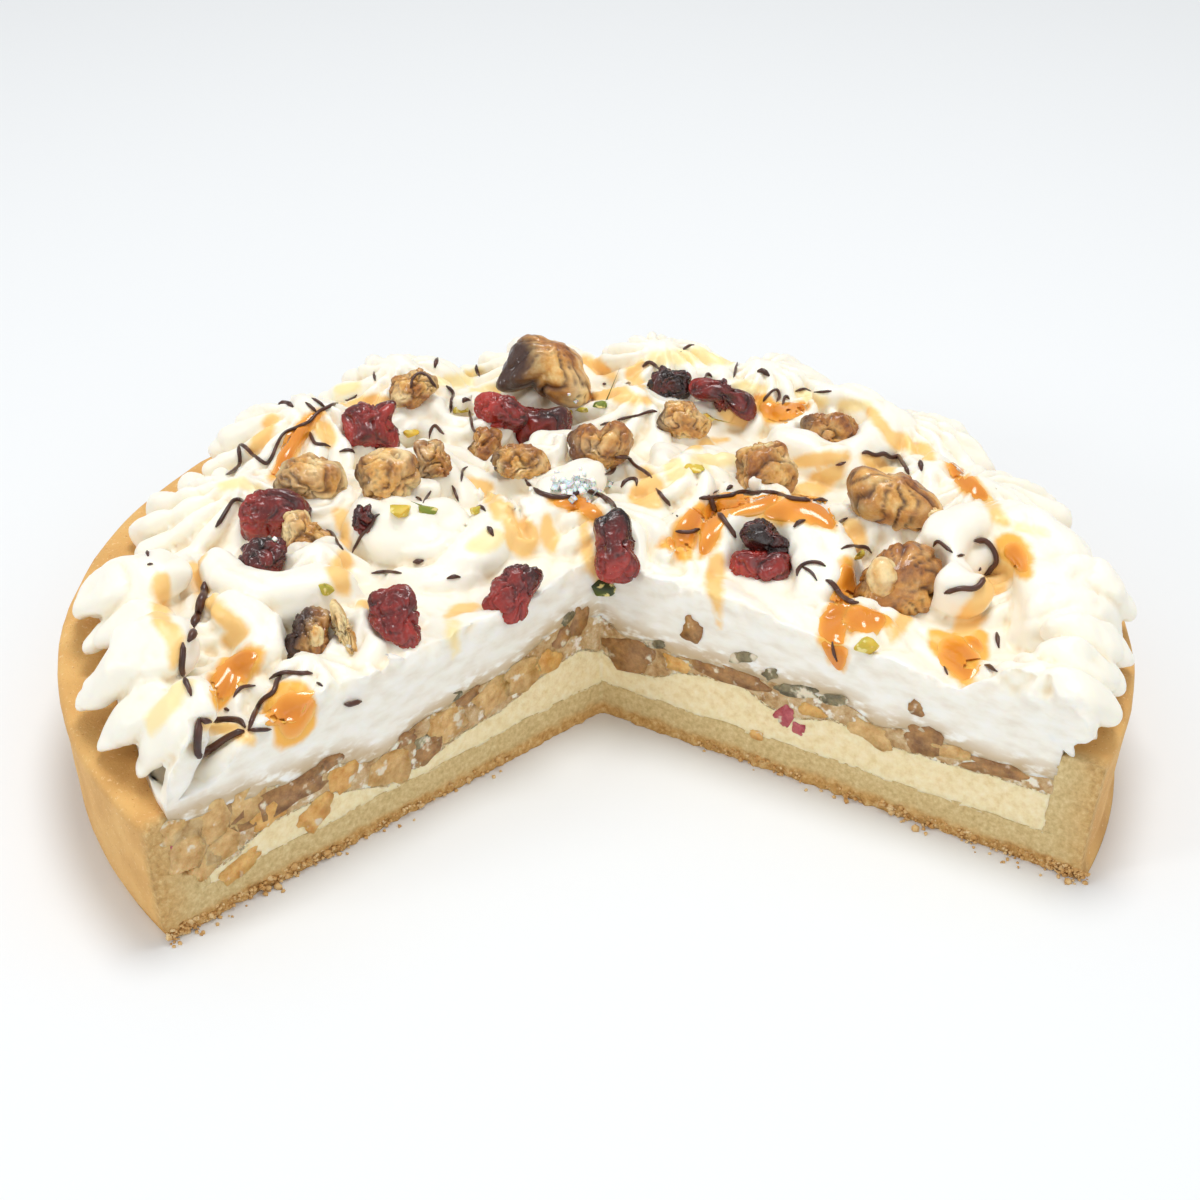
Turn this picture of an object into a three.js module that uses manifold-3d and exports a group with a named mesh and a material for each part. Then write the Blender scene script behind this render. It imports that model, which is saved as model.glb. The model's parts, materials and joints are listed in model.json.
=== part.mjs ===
// A sour cream tart with about a third of it already served.
// Millimetres, +Z up. Everything is built round the tart's own axis, with the crust standing on z = 0, and
// the whole group is moved at the end, so that the origin is under the middle of its box.
// From below: shortcrust, baked custard, a layer of fruit and nuts, and piped sour cream with its toppings.
import * as THREE from "three";
import { mergeVertices } from "three/addons/utils/BufferGeometryUtils.js";
import Module from "manifold-3d";

const wasm = await Module();
wasm.setup();

// Crust
const RIM_RADIUS = 140;
const FOOT_RADIUS = 137;
const CRUST_HEIGHT = 35;
const BASE_THICKNESS = 11;
const WALL_FOOT_THICKNESS = 11;
const WALL_TOP_THICKNESS = 12.5;
const WALL_WAVE = 0.4;
const RIM_ROUNDING = 2.2;
const RIM_WAVE = 0.5;
const FOOT_ROUNDING = 1;
const CRUST_SPOKES = 36;

// Crumbs along the foot of each cut, from this far out, with this spacing
const CRUMB_SIZE = 2.2;
const CRUMBS_PER_CUT = 5;
const FIRST_CRUMB = 56;
const CRUMB_SPACING = 19;

// The served wedge lies between these two cuts, in degrees round from +X
const CUT_RIGHT = -30.7;
const CUT_LEFT = 221.7;

// The fruit chunks in the left cut eat into the wall above this height, fading over this many degrees
const WALL_HOLLOW = 7;
const WALL_HOLLOW_SPREAD = 14;
const WALL_HOLLOW_FLOOR = 17;
const WALL_HOLLOW_SLOPE = 2;

// Layers at the two cuts, as [radius, top of custard, top of fruit and nuts]. They meet at the tart's axis.
const LEFT_LAYERS = [
  [0, 21, 32],
  [8, 25, 36],
  [18, 23, 35],
  [32, 18.5, 29],
  [48, 17, 29],
  [62, 14, 26],
  [74, 12.5, 22],
  [86, 20, 28],
  [104, 19.5, 30],
  [118, 15, 32],
  [126, 15, 33],
];
const RIGHT_LAYERS = [
  [0, 21, 32],
  [6, 17, 29],
  [16, 18, 28],
  [26, 23, 27.5],
  [42, 24.5, 29.5],
  [56, 19, 29],
  [68, 23.5, 30.5],
  [82, 21, 25.5],
  [93, 21.5, 29],
  [106, 22.5, 26],
  [126, 23, 27.5],
];

// Lumps in the hidden stretch between the cuts: their height and spacing, and where they start
const CHUNK_RELIEF = 2;
const CHUNK_SPACING = 9;
const CHUNK_TURNS = 6;
const CHUNKS_FROM = 25;

// The layers' grid, how far each is made into the one below it before it is cut, the height of the fruit
// layer's outer edge, and the gap that each solid keeps to the next
const LAYER_RINGS = 10;
const LAYER_SPOKES = 14;
const LAYER_OVERLAP = 3;
const FRUIT_EDGE_TOP = 30;
const GAP = 0.3;

// Cream
const SLAB_TOP = 48;
const SLAB_EDGE_TOP = 40;
const PIPING_BASE = 36;
const INNER_PIPING_BASE = 40;
const LOBES = 8;
const LOBE_DEPTH = 0.1;
const LOBE_TWIST = 1.1;

// Half sections of the two kinds of swirl, as [share of the radius, share of the height]
const STAR_PROFILE = [[0, 0], [0.95, 0], [1, 0.26], [0.74, 0.7], [0.36, 0.87], [0, 1]];
const RING_PROFILE = [[0, 0], [0.95, 0], [1, 0.3], [0.82, 0.92], [0.56, 0.96], [0, 0.66]];

// Piped swirls as [degrees round, distance out, radius, top]. The border ones hang over the crust's rim, and
// each ring has a well in its middle.
const BORDER_STARS = [
  [334, 115, 21, 52],
  [355, 111, 24, 55],
  [17, 108, 25, 57],
  [38, 109, 25, 56],
  [59, 107, 25, 58],
  [80, 107, 26, 60],
  [101, 106, 25, 58],
  [122, 107, 25, 60],
  [143, 107, 26, 58],
  [165, 108, 25, 57],
  [186, 108, 25, 55],
  [206, 107, 27, 57],
  [220, 111, 21, 52],
];
const RINGS = [
  [352, 42, 21, 59],
  [176, 43, 20, 60],
  [41, 86, 20, 59],
  [350, 84, 20, 57],
];
const INNER_STARS = [
  [82, 15, 20, 60],
  [203, 24, 18, 57],
  [62, 46, 22, 60],
  [104, 50, 23, 61],
  [139, 62, 22, 61],
  [82, 80, 22, 60],
  [116, 82, 21, 60],
  [13, 76, 22, 59],
  [160, 78, 22, 60],
  [183, 77, 21, 58],
  [206, 68, 21, 56],
  [36, 52, 18, 58],
];

// Toppings as [x, y, length, width, height, turn in degrees]
const WALNUTS = [
  [-54, 79, 15, 13, 10, 20],
  [-15, 94, 27, 22, 14, -25],
  [-79, 24, 21, 15, 12, 15],
  [-58, 30, 18, 16, 13, -30],
  [-44, 36, 11, 11, 10, 0],
  [-34, 46, 11, 11, 9, 40],
  [-21, 38, 17, 12, 10, -15],
  [-1, 43, 20, 15, 12, 10],
  [24, 64, 15, 12, 10, -20],
  [45, 32, 17, 15, 12, 25],
  [64, 57, 20, 14, 10, 0],
  [77, 13, 28, 20, 13, -20],
  [73, -25, 27, 22, 14, 35],
  [-74, -2, 17, 11, 9, -20],
  [-74, -42, 13, 12, 11, 60],
  [-62, -39, 15, 8, 7, 70],
];
const DRIED_BERRIES = [
  [-66, 66, 16, 14, 11, 20],
  [-29, 66, 16, 11, 9, -15],
  [-15, 56, 18, 15, 12, -25],
  [19, 82, 13, 10, 9, 0],
  [37, 83, 21, 12, 10, -25],
  [-86, 13, 19, 13, 11, 25],
  [-89, -13, 14, 12, 11, 70],
  [4, 0, 18, 11, 11, 80],
  [40, -13, 18, 14, 11, 20],
  [43, 1, 12, 10, 9, -30],
  [-51, -36, 18, 14, 11, -65],
  [-22, -19, 17, 14, 11, 50],
  [-63, 11, 8, 6, 6, 60],
];

// The share of a topping's height that is sunk in the cream
const SUNK = 0.22;

// Relief of the toppings, as shares of their size
const NUT_GROOVE = 0.18;
const NUT_GROOVE_WIDTH = 0.22;
const NUT_FOLDS = 0.1;
const BERRY_WRINKLES = 0.1;

// Pistachio chips fused to the cream, as [x, y, size], with their middles lifted by this share of the size
const PISTACHIO_LIFT = 0.2;
const PISTACHIOS = [
  [-40, 65, 6],
  [-6, 75, 6],
  [1, 71, 5],
  [-53, 5, 6.5],
  [-45, 11, 6.5],
  [-33, 7, 5],
  [-71, -20, 5.5],
  [25, 33, 6],
  [66, -2, 5.5],
  [66, -36, 6.5],
  [30, 70, 5],
];

// Thick caramel and chocolate fused to the cream, as points [x, y] along each run
const CARAMEL_WIDTH = 7;
const CARAMEL_THICKNESS = 1.6;
const CARAMEL_RUNS = [
  [[-96, -22], [-94, -40], [-97, -52]],
  [[-82, -58], [-80, -66], [-80, -72]],
  [[-84, 50], [-82, 38], [-84, 30]],
  [[98, 2], [98, -16], [92, -32], [88, -46]],
  [[58, 2], [59, -16], [57, -32]],
  [[22, 6], [32, 20], [48, 20], [60, 14]],
];
const CHOCOLATE_WIDTH = 2;
const CHOCOLATE_THICKNESS = 1;
const CHOCOLATE_RUNS = [
  [[-100, -22], [-104, -38], [-108, -52], [-101, -62]],
  [[-96, -78], [-100, -71], [-90, -69], [-84, -66], [-82, -52]],
  [[-100, 42], [-92, 50], [-84, 44], [-78, 56], [-66, 62]],
  [[-16, 22], [-8, 12], [0, 10], [8, 4]],
  [[26, 16], [40, 22], [56, 16]],
  [[98, 6], [101, -6], [94, -14], [86, -12]],
];
const RUN_STEP = 10;

// Corners this close are one, a triangle lower than the next is a sliver, and a sliver with a side shorter
// than the third is closed up
const SAME_POINT = 0.001;
const SLIVER = 0.01;
const SHORT_SIDE = 0.6;
const SLIVER_ROUNDS = 6;

// Past the cuts, a block that is still to be trimmed runs on for this many degrees
const TRIM = 4;

const toRadians = THREE.MathUtils.degToRad;
const lerp = THREE.MathUtils.lerp;
const FROM = toRadians(CUT_RIGHT);
const SPAN = toRadians(CUT_LEFT - CUT_RIGHT);

// A closed three.js geometry as a solid
function solid(geometry) {
  const bare = new THREE.BufferGeometry();
  bare.setAttribute("position", geometry.getAttribute("position"));
  bare.setIndex(geometry.index);
  const merged = mergeVertices(bare, SAME_POINT);
  const faces = [];
  const corners = merged.index.array;
  for (let i = 0; i < corners.length; i += 3) {
    const [a, b, c] = [corners[i], corners[i + 1], corners[i + 2]];
    if (a !== b && b !== c && c !== a) faces.push(a, b, c);
  }
  return new wasm.Manifold(
    new wasm.Mesh({
      numProp: 3,
      vertProperties: merged.attributes.position.array,
      triVerts: new Uint32Array(faces),
    }),
  );
}

function geometryOf(body) {
  const mesh = body.getMesh();
  const geometry = new THREE.BufferGeometry();
  geometry.setAttribute("position", new THREE.BufferAttribute(mesh.vertProperties, 3));
  geometry.setIndex(new THREE.BufferAttribute(mesh.triVerts, 1));
  return geometry;
}

const join = (bodies) => bodies.reduce((whole, body) => whole.add(body));

// The body without loose scraps that a cut leaves
function withoutScraps(body) {
  return body.decompose().reduce((best, piece) => (piece.volume() > best.volume() ? piece : best));
}

// The body without the needle-thin triangles that cuts leave: a short side is closed up, and a long one is
// turned to join the other two corners of the triangles beside it.
function withoutSlivers(body) {
  const { vertProperties, triVerts } = body.getMesh();
  const at = (i) => new THREE.Vector3().fromArray(vertProperties, 3 * i);
  const triangle = new THREE.Triangle();
  let faces = [];
  for (let i = 0; i < triVerts.length; i += 3) faces.push([...triVerts.subarray(i, i + 3)]);
  for (let round = 0; round < SLIVER_ROUNDS; round++) {
    const touched = new Set();
    for (const face of faces) {
      if (face.some((i) => touched.has(i))) continue;
      const sides = [0, 1, 2].map((k) => [face[k], face[(k + 1) % 3], face[(k + 2) % 3]]);
      sides.sort((a, b) => at(a[0]).distanceTo(at(a[1])) - at(b[0]).distanceTo(at(b[1])));
      const [shortest, , longest] = sides;
      const longSide = at(longest[0]).distanceTo(at(longest[1]));
      triangle.set(...face.map(at));
      if ((2 * triangle.getArea()) / longSide > SLIVER) continue;
      const [a, b, c] = longest;
      if (at(shortest[0]).distanceTo(at(shortest[1])) < SHORT_SIDE) {
        const [from, to] = shortest;
        const ring = faces.filter((other) => other.includes(from) || other.includes(to));
        if (ring.flat().some((i) => touched.has(i))) continue;
        ring.flat().forEach((i) => touched.add(i));
        ring.forEach((other) => other.splice(0, 3, ...other.map((i) => (i === from ? to : i))));
      } else {
        const beside = faces.find((other) => other !== face && other.includes(a) && other.includes(b));
        const d = beside.find((i) => i !== a && i !== b);
        if (touched.has(d)) continue;
        [a, b, c, d].forEach((i) => touched.add(i));
        face.splice(0, 3, a, d, c);
        beside.splice(0, 3, d, b, c);
      }
    }
    faces = faces.filter(([a, b, c]) => a !== b && b !== c && c !== a);
    if (!touched.size) break;
  }
  return new wasm.Manifold(
    new wasm.Mesh({ numProp: 3, vertProperties, triVerts: new Uint32Array(faces.flat()) }),
  );
}

function movePoints(geometry, change) {
  const points = geometry.attributes.position;
  const point = new THREE.Vector3();
  for (let i = 0; i < points.count; i++) {
    point.fromBufferAttribute(points, i);
    change(point);
    points.setXYZ(i, point.x, point.y, point.z);
  }
  return geometry;
}

// A block of the tart from one cut round to the other. shape(out, angle, up) gives [radius, height],
// with out and up from 0 to 1. A block that is still to be trimmed runs some degrees past both cuts.
function sector(rings, spokes, levels, shape, past = 0) {
  const block = new THREE.BoxGeometry(1, 1, 1, rings, spokes, levels);
  const extra = toRadians(past);
  movePoints(block, (p) => {
    const angle = FROM - extra + (p.y + 0.5) * (SPAN + 2 * extra);
    const [radius, height] = shape(p.x + 0.5, angle, p.z + 0.5);
    p.set(radius * Math.cos(angle), radius * Math.sin(angle), height);
  });
  return solid(block);
}

// Slow unevenness over any two numbers, between -1 and 1
const uneven = (a, b) => Math.sin(2.3 * a + 1.7 * b) * 0.6 + Math.sin(5.1 * a - 3.1 * b + 1) * 0.4;

// How near an angle is to the left cut, from 0 to 1, for the hollow in the wall there
function nearLeftCut(angle) {
  return Math.max(0, 1 - (FROM + SPAN - angle) / toRadians(WALL_HOLLOW_SPREAD));
}

// Inner face of the crust's wall at a height
function wallRadius(angle, height) {
  const foot = FOOT_RADIUS - WALL_FOOT_THICKNESS;
  const top = RIM_RADIUS - WALL_TOP_THICKNESS;
  const share = (height - BASE_THICKNESS) / (CRUST_HEIGHT - BASE_THICKNESS);
  const hollow = height > WALL_HOLLOW_FLOOR ? WALL_HOLLOW * nearLeftCut(angle) : 0;
  return lerp(foot, top, share) + WALL_WAVE * uneven(3 * angle, height) + hollow;
}

// A height that follows the two cuts' layers at the cuts and blends between them round the tart
function layerTop(column) {
  const along = (layers, radius) => {
    const next = Math.max(1, layers.findIndex((row) => row[0] >= radius));
    const [low, high] = [layers[next - 1], layers[next]];
    const share = (radius - low[0]) / (high[0] - low[0]);
    return lerp(low[column], high[column], Math.min(1, share));
  };
  return (radius, angle) => {
    const round = (angle - FROM) / SPAN;
    const within = Math.min(radius, LEFT_LAYERS.at(-1)[0]);
    const fade = Math.sin(Math.PI * round) * Math.min(1, radius / CHUNKS_FROM);
    const lumps = CHUNK_RELIEF * uneven(radius / CHUNK_SPACING, angle * CHUNK_TURNS) * fade;
    return lerp(along(RIGHT_LAYERS, within), along(LEFT_LAYERS, within), round) + lumps;
  };
}
const custardTop = layerTop(1);
const fruitTop = layerTop(2);

// Everything inside the two cuts, well past the tart's own size
const FAR = 250;
const kept = sector(1, 12, 1, (out, angle, up) => [out * FAR, up ? FAR : -FAR]);

// Crust: the outer block, with its rounded rim, less the space for the filling
function crustBody() {
  const outside = [
    [0, FOOT_RADIUS - FOOT_ROUNDING],
    [FOOT_ROUNDING, FOOT_RADIUS],
    [CRUST_HEIGHT - RIM_ROUNDING, RIM_RADIUS],
    [CRUST_HEIGHT, RIM_RADIUS - RIM_ROUNDING],
  ];
  const outer = sector(1, CRUST_SPOKES, outside.length - 1, (out, angle, up) => {
    const [height, radius] = outside[Math.round(up * (outside.length - 1))];
    const wave = RIM_WAVE * uneven(2 * angle, 0.5);
    return [out * (radius + wave), height ? height + wave : 0];
  }, TRIM);
  const ledge = WALL_HOLLOW_FLOOR + WALL_HOLLOW_SLOPE;
  const inside = [BASE_THICKNESS, WALL_HOLLOW_FLOOR, ledge, CRUST_HEIGHT + 2 * RIM_WAVE];
  const inner = sector(1, CRUST_SPOKES, inside.length - 1, (out, angle, up) => {
    const height = inside[Math.round(up * (inside.length - 1))];
    return [out * wallRadius(angle, height), height];
  }, 2 * TRIM);
  return outer.subtract(inner).intersect(kept);
}

// Crumbs that stick out along the foot of each cut, the largest at the two outer corners
function crumbs() {
  return [CUT_RIGHT, CUT_LEFT].flatMap((cut, side) =>
    Array.from({ length: CRUMBS_PER_CUT }, (unused, i) => {
      const radius = FIRST_CRUMB + CRUMB_SPACING * i + 3 * uneven(i, side);
      const size = CRUMB_SIZE * (0.8 + 0.3 * uneven(3 * i, side) + 0.08 * i);
      const lump = new THREE.IcosahedronGeometry(size, 0).rotateZ(i).rotateX(2 * i);
      lump.translate(radius, 0, size * 0.7).rotateZ(toRadians(cut));
      return solid(movePoints(lump, (p) => p.setZ(Math.max(0, p.z))));
    }),
  );
}

// Filling layers. Each keeps a gap to the crust's wall and to the layer below.
function layer(bottom, top, topSide, clear) {
  return sector(LAYER_RINGS, LAYER_SPOKES, 1, (out, angle, up) => {
    const radius = out * (wallRadius(angle, up ? topSide : BASE_THICKNESS) - clear);
    return [radius, up ? top(radius, angle) : bottom(radius, angle)];
  }, TRIM);
}
const lowered = (top) => (radius, angle) => top(radius, angle) - LAYER_OVERLAP;
const raised = (body) => body.translate([0, 0, GAP]);

const custard = layer(() => BASE_THICKNESS + GAP, custardTop, BASE_THICKNESS, 3 * GAP);
const fruit = layer(lowered(custardTop), fruitTop, FRUIT_EDGE_TOP, 4 * GAP).subtract(raised(custard));
const creamSlab = layer(
  lowered(fruitTop),
  (radius) => lerp(SLAB_TOP, SLAB_EDGE_TOP, (radius / RIM_RADIUS) ** 3),
  BASE_THICKNESS,
  5 * GAP,
).subtract(raised(fruit));

// A piped swirl: a lobed dome whose lobes turn round as they climb. A ring has a well in its middle.
function swirl([degrees, out, radius, top], base, profile) {
  const points = profile.map(([r, h]) => new THREE.Vector2(r * radius, h));
  const dome = new THREE.LatheGeometry(points, LOBES * 2);
  dome.rotateX(Math.PI / 2);
  const angle = toRadians(degrees);
  movePoints(dome, (p) => {
    const distance = Math.hypot(p.x, p.y) / radius;
    const round = Math.atan2(p.y, p.x);
    const lobe = LOBE_DEPTH * Math.cos(LOBES * round) * distance;
    const turned = round + angle + LOBE_TWIST * (1 - distance);
    const reach = distance * radius * (1 + lobe);
    const lift = p.z * (1 + lobe / 2);
    p.set(
      out * Math.cos(angle) + reach * Math.cos(turned),
      out * Math.sin(angle) + reach * Math.sin(turned),
      base + lift * (top - base),
    );
  });
  return solid(dome);
}

function pipedCream() {
  const swirls = [
    ...BORDER_STARS.map((star) => swirl(star, PIPING_BASE, STAR_PROFILE)),
    ...INNER_STARS.map((star) => swirl(star, INNER_PIPING_BASE, STAR_PROFILE)),
    ...RINGS.map((ring) => swirl(ring, INNER_PIPING_BASE, RING_PROFILE)),
  ];
  return join([creamSlab, ...swirls]).intersect(kept);
}

// Height of the cream under a point
function heightOver(body) {
  const mesh = new THREE.Mesh(geometryOf(body), new THREE.MeshBasicMaterial({ side: THREE.DoubleSide }));
  const ray = new THREE.Raycaster();
  return (x, y) => {
    ray.set(new THREE.Vector3(x, y, FAR), new THREE.Vector3(0, 0, -1));
    const [hit] = ray.intersectObject(mesh);
    return hit ? hit.point.z : SLAB_EDGE_TOP;
  };
}

// A run of caramel or chocolate that lies on the cream
function run(points, width, thickness, heightAt) {
  const flat = new THREE.CatmullRomCurve3(points.map(([x, y]) => new THREE.Vector3(x, y, 0)));
  const count = Math.max(2, Math.round(flat.getLength() / RUN_STEP));
  const laid = flat.getSpacedPoints(count).map((p) => new THREE.Vector3(p.x, p.y, heightAt(p.x, p.y)));
  const section = new THREE.Shape();
  section.absellipse(0, 0, thickness, width / 2, 0, 2 * Math.PI);
  const geometry = new THREE.ExtrudeGeometry(section, {
    curveSegments: 2,
    steps: count,
    bevelEnabled: false,
    extrudePath: new THREE.CatmullRomCurve3(laid),
  });
  return solid(geometry);
}

// A walnut kernel half: two halves either side of a groove, each with its folds
function walnut([, , length, width, height, turn], number) {
  const nut = new THREE.IcosahedronGeometry(1, 1);
  movePoints(nut, (p) => {
    const groove = NUT_GROOVE * Math.exp(-((p.y / NUT_GROOVE_WIDTH) ** 2)) * Math.max(0, p.z + 0.3);
    const folds = NUT_FOLDS * Math.sin(6 * p.x + number) * Math.sin(4 * Math.abs(p.y) + number);
    p.multiplyScalar(1 - groove + folds);
    p.set((p.x * length) / 2, (p.y * width) / 2, (p.z * height) / 2);
  });
  return nut.rotateZ(toRadians(turn));
}

// A dried berry: a squashed, wrinkled oval
function driedBerry([, , length, width, height, turn], number) {
  const berry = new THREE.SphereGeometry(1, 8, 5);
  berry.rotateX(Math.PI / 2);
  movePoints(berry, (p) => {
    const wrinkle = 1 + BERRY_WRINKLES * Math.sin(5 * p.x + 2 * number) * Math.cos(4 * p.y + number);
    p.set((p.x * wrinkle * length) / 2, (p.y * wrinkle * width) / 2, (p.z * wrinkle * height) / 2);
  });
  return berry.rotateZ(toRadians(turn));
}

const MATERIALS = {
  shortcrust: new THREE.MeshStandardMaterial({ color: 0xd6a866, roughness: 0.85 }),
  custard: new THREE.MeshStandardMaterial({ color: 0xecd9a6, roughness: 0.7 }),
  fruitAndNuts: new THREE.MeshStandardMaterial({ color: 0xb58a55, roughness: 0.6 }),
  cream: new THREE.MeshStandardMaterial({ color: 0xfbf6ea, roughness: 0.45 }),
  walnut: new THREE.MeshStandardMaterial({ color: 0xb07a3e, roughness: 0.55 }),
  berry: new THREE.MeshStandardMaterial({ color: 0x7c1a1e, roughness: 0.3 }),
};

const tart = new THREE.Group();

function place(name, geometry, material) {
  const mesh = new THREE.Mesh(geometry, material);
  mesh.name = name;
  tart.add(mesh);
  return mesh;
}

place("crust", geometryOf(join([crustBody(), ...crumbs()])), MATERIALS.shortcrust);
place("custard", geometryOf(withoutScraps(custard.intersect(kept))), MATERIALS.custard);
place("fruit_and_nuts", geometryOf(withoutScraps(fruit.intersect(kept))), MATERIALS.fruitAndNuts);

const bareCream = pipedCream();
const creamHeight = heightOver(bareCream);
let cream = join([
  bareCream,
  ...CARAMEL_RUNS.map((points) => run(points, CARAMEL_WIDTH, CARAMEL_THICKNESS, creamHeight)),
  ...CHOCOLATE_RUNS.map((points) => run(points, CHOCOLATE_WIDTH, CHOCOLATE_THICKNESS, creamHeight)),
  ...PISTACHIOS.map(([x, y, size]) => {
    const z = creamHeight(x, y) + size * PISTACHIO_LIFT;
    return solid(new THREE.OctahedronGeometry(size / 2, 0).translate(x, y, z));
  }),
]).intersect(kept);

// Each topping is set into the cream, which keeps a small gap round it
function setIn(rows, shape, name, material) {
  rows.forEach((row, index) => {
    const [x, y, , , height] = row;
    const z = creamHeight(x, y) + height * (0.5 - SUNK);
    const geometry = shape(row, index + 1);
    const roomier = 1 + (3 * GAP) / height;
    const room = geometry.clone().scale(roomier, roomier, roomier);
    cream = cream.subtract(solid(room.translate(x, y, z)));
    const number = String(index + 1).padStart(2, "0");
    const topping = place(name + "_" + number, geometryOf(solid(geometry)), material);
    topping.position.set(x, y, z);
  });
}
setIn(WALNUTS, walnut, "walnut", MATERIALS.walnut);
setIn(DRIED_BERRIES, driedBerry, "dried_berry", MATERIALS.berry);
place("cream", geometryOf(withoutSlivers(withoutScraps(cream))), MATERIALS.cream);

// The origin goes under the middle of the tart's box
const box = new THREE.Box3().setFromObject(tart);
const middle = box.getCenter(new THREE.Vector3());
tart.position.set(-middle.x, -middle.y, -box.min.z);

export default tart;
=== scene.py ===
# %% [markdown]
# # A sour cream tart with a wedge already served
# This lesson builds one bakery tart in Blender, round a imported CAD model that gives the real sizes.
# The tart has five parts, from below: shortcrust, baked custard, fruit and nuts, piped sour cream, and
# the toppings. We could model only the outside and paint the layers on the cut, but then the two cuts
# would look flat. So every layer is a body of its own, and one knife cuts them all.

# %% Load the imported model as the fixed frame
import json
import math
import random

import bmesh
import bpy
from mathutils import Euler, Matrix, Vector, kdtree, noise
from mathutils.bvhtree import BVHTree

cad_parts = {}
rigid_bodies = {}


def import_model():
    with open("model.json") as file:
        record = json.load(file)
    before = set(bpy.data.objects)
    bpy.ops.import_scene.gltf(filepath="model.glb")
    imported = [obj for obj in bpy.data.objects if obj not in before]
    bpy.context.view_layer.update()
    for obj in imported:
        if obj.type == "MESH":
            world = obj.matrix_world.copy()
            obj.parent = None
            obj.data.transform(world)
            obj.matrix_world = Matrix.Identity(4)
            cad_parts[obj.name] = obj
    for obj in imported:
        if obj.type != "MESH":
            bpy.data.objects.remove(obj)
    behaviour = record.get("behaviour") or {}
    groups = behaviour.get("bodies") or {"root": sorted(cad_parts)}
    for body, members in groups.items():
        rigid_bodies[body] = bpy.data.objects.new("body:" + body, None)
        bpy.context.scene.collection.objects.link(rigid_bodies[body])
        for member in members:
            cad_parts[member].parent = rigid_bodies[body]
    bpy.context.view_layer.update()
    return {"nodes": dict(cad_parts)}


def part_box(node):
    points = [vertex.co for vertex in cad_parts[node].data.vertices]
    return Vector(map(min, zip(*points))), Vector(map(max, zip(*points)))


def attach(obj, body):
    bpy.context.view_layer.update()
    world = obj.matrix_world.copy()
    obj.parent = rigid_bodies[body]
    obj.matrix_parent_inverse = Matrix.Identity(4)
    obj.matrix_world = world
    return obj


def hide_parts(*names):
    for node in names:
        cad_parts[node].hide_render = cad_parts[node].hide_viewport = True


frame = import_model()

# Blender draws the offsets of its vector noise from the clock, unless a seed is set.
noise.seed_set(7)
print("nodes in the frame:", len(frame["nodes"]))

# %% [markdown]
# ## Units and helpers
# A tart is easiest to think of in millimetres round its own axis, with the crust standing on z = 0.
# The CAD frame is in metres with its origin under the middle of the tart's box. So we model in
# millimetres round the axis, and one function moves a finished mesh into the frame at the end.

# %% Units, and the two cuts
MM = 0.001
UP = Vector((0, 0, 1))
AXIS = Vector((-0.0487, -23.6641, 0.0))
CUT_RIGHT = -30.7
CUT_LEFT = 221.7
CAMERA_PLACE = Vector((-7.08, -506.21, 352.96))
SIGHT = CAMERA_PLACE - AXIS
CAMERA_YAW = 0.77
CAMERA_PITCH = 33.21
CAMERA_ROLL = 0.48
FORWARD = Euler((0, 0, -math.radians(CAMERA_YAW))).to_matrix() @ Vector(
    (0, math.cos(math.radians(CAMERA_PITCH)), -math.sin(math.radians(CAMERA_PITCH))))
CAMERA_TURN = FORWARD.to_track_quat("-Z", "Y") @ Euler((0, 0, math.radians(CAMERA_ROLL))).to_quaternion()
SEEN_RIGHT, SEEN_UP, SEEN_NEAR = (CAMERA_TURN @ Vector(axis) for axis in ((1, 0, 0), (0, 1, 0), (0, 0, 1)))
print("camera's distance in mm:", round(SIGHT.length))


def polar(degrees, out, z=0.0):
    """A point at an angle and a distance from the tart's axis."""
    angle = math.radians(degrees)
    return Vector((out * math.cos(angle), out * math.sin(angle), z))


def degrees_round(co):
    """The angle of a point round the axis, from the right cut up to the left one."""
    angle = math.degrees(math.atan2(co.y, co.x))
    return angle + 360 if angle < CUT_RIGHT - 54 else angle


def mix(a, b, share):
    return a + (b - a) * share


def clamp(x, low=0.0, high=1.0):
    return max(low, min(high, x))


def ramp(x, low, high):
    """0 below low, 1 above high, and smooth between."""
    t = clamp((x - low) / (high - low))
    return t * t * (3 - 2 * t)


def rough(co, size, seed=0.0):
    """Smooth unevenness between about -1 and 1, with bumps of the given size in mm."""
    return noise.noise(Vector((co[0] + 37.0 * seed, co[1] - 11.0 * seed, co[2] + 5.0 * seed)) / size)


# %% Turn a bmesh into an object, and an object into a piece of the tart
def as_object(bm, name):
    """An object that still holds millimetres round the tart's axis. Its faces get the same order in each run."""
    bm.verts.index_update()
    bm.faces.sort(key=lambda face: face.verts[0].index * len(bm.verts) + face.verts[1].index)
    mesh = bpy.data.meshes.new(name)
    bm.to_mesh(mesh)
    bm.free()
    obj = bpy.data.objects.new(name, mesh)
    bpy.context.scene.collection.objects.link(obj)
    return obj


def apply_modifiers(obj):
    """Replaces the mesh with what its modifiers make of it."""
    depsgraph = bpy.context.evaluated_depsgraph_get()
    mesh = bpy.data.meshes.new_from_object(obj.evaluated_get(depsgraph))
    obj.modifiers.clear()
    obj.data = mesh
    return obj


def boolean(obj, other, operation):
    """Cuts or joins two closed objects and removes the second one."""
    change = obj.modifiers.new("boolean", "BOOLEAN")
    change.solver = "MANIFOLD"
    change.operation = operation
    change.object = other
    apply_modifiers(obj)
    bpy.data.objects.remove(other)
    return obj


def settle(obj, material, nodes=()):
    """Moves a finished piece into the CAD's frame, gives it its material, hangs it on the root body, hides the CAD
    parts it replaces and prints its number of faces.
    """
    obj.data.transform(Matrix.Scale(MM, 4) @ Matrix.Translation(AXIS))
    obj.data.materials.clear()
    obj.data.materials.append(material)
    obj.data.shade_smooth()
    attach(obj, "root")
    if nodes:
        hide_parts(*nodes)
    print(f"{obj.name}: {len(obj.data.polygons)} faces")
    return obj


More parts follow.
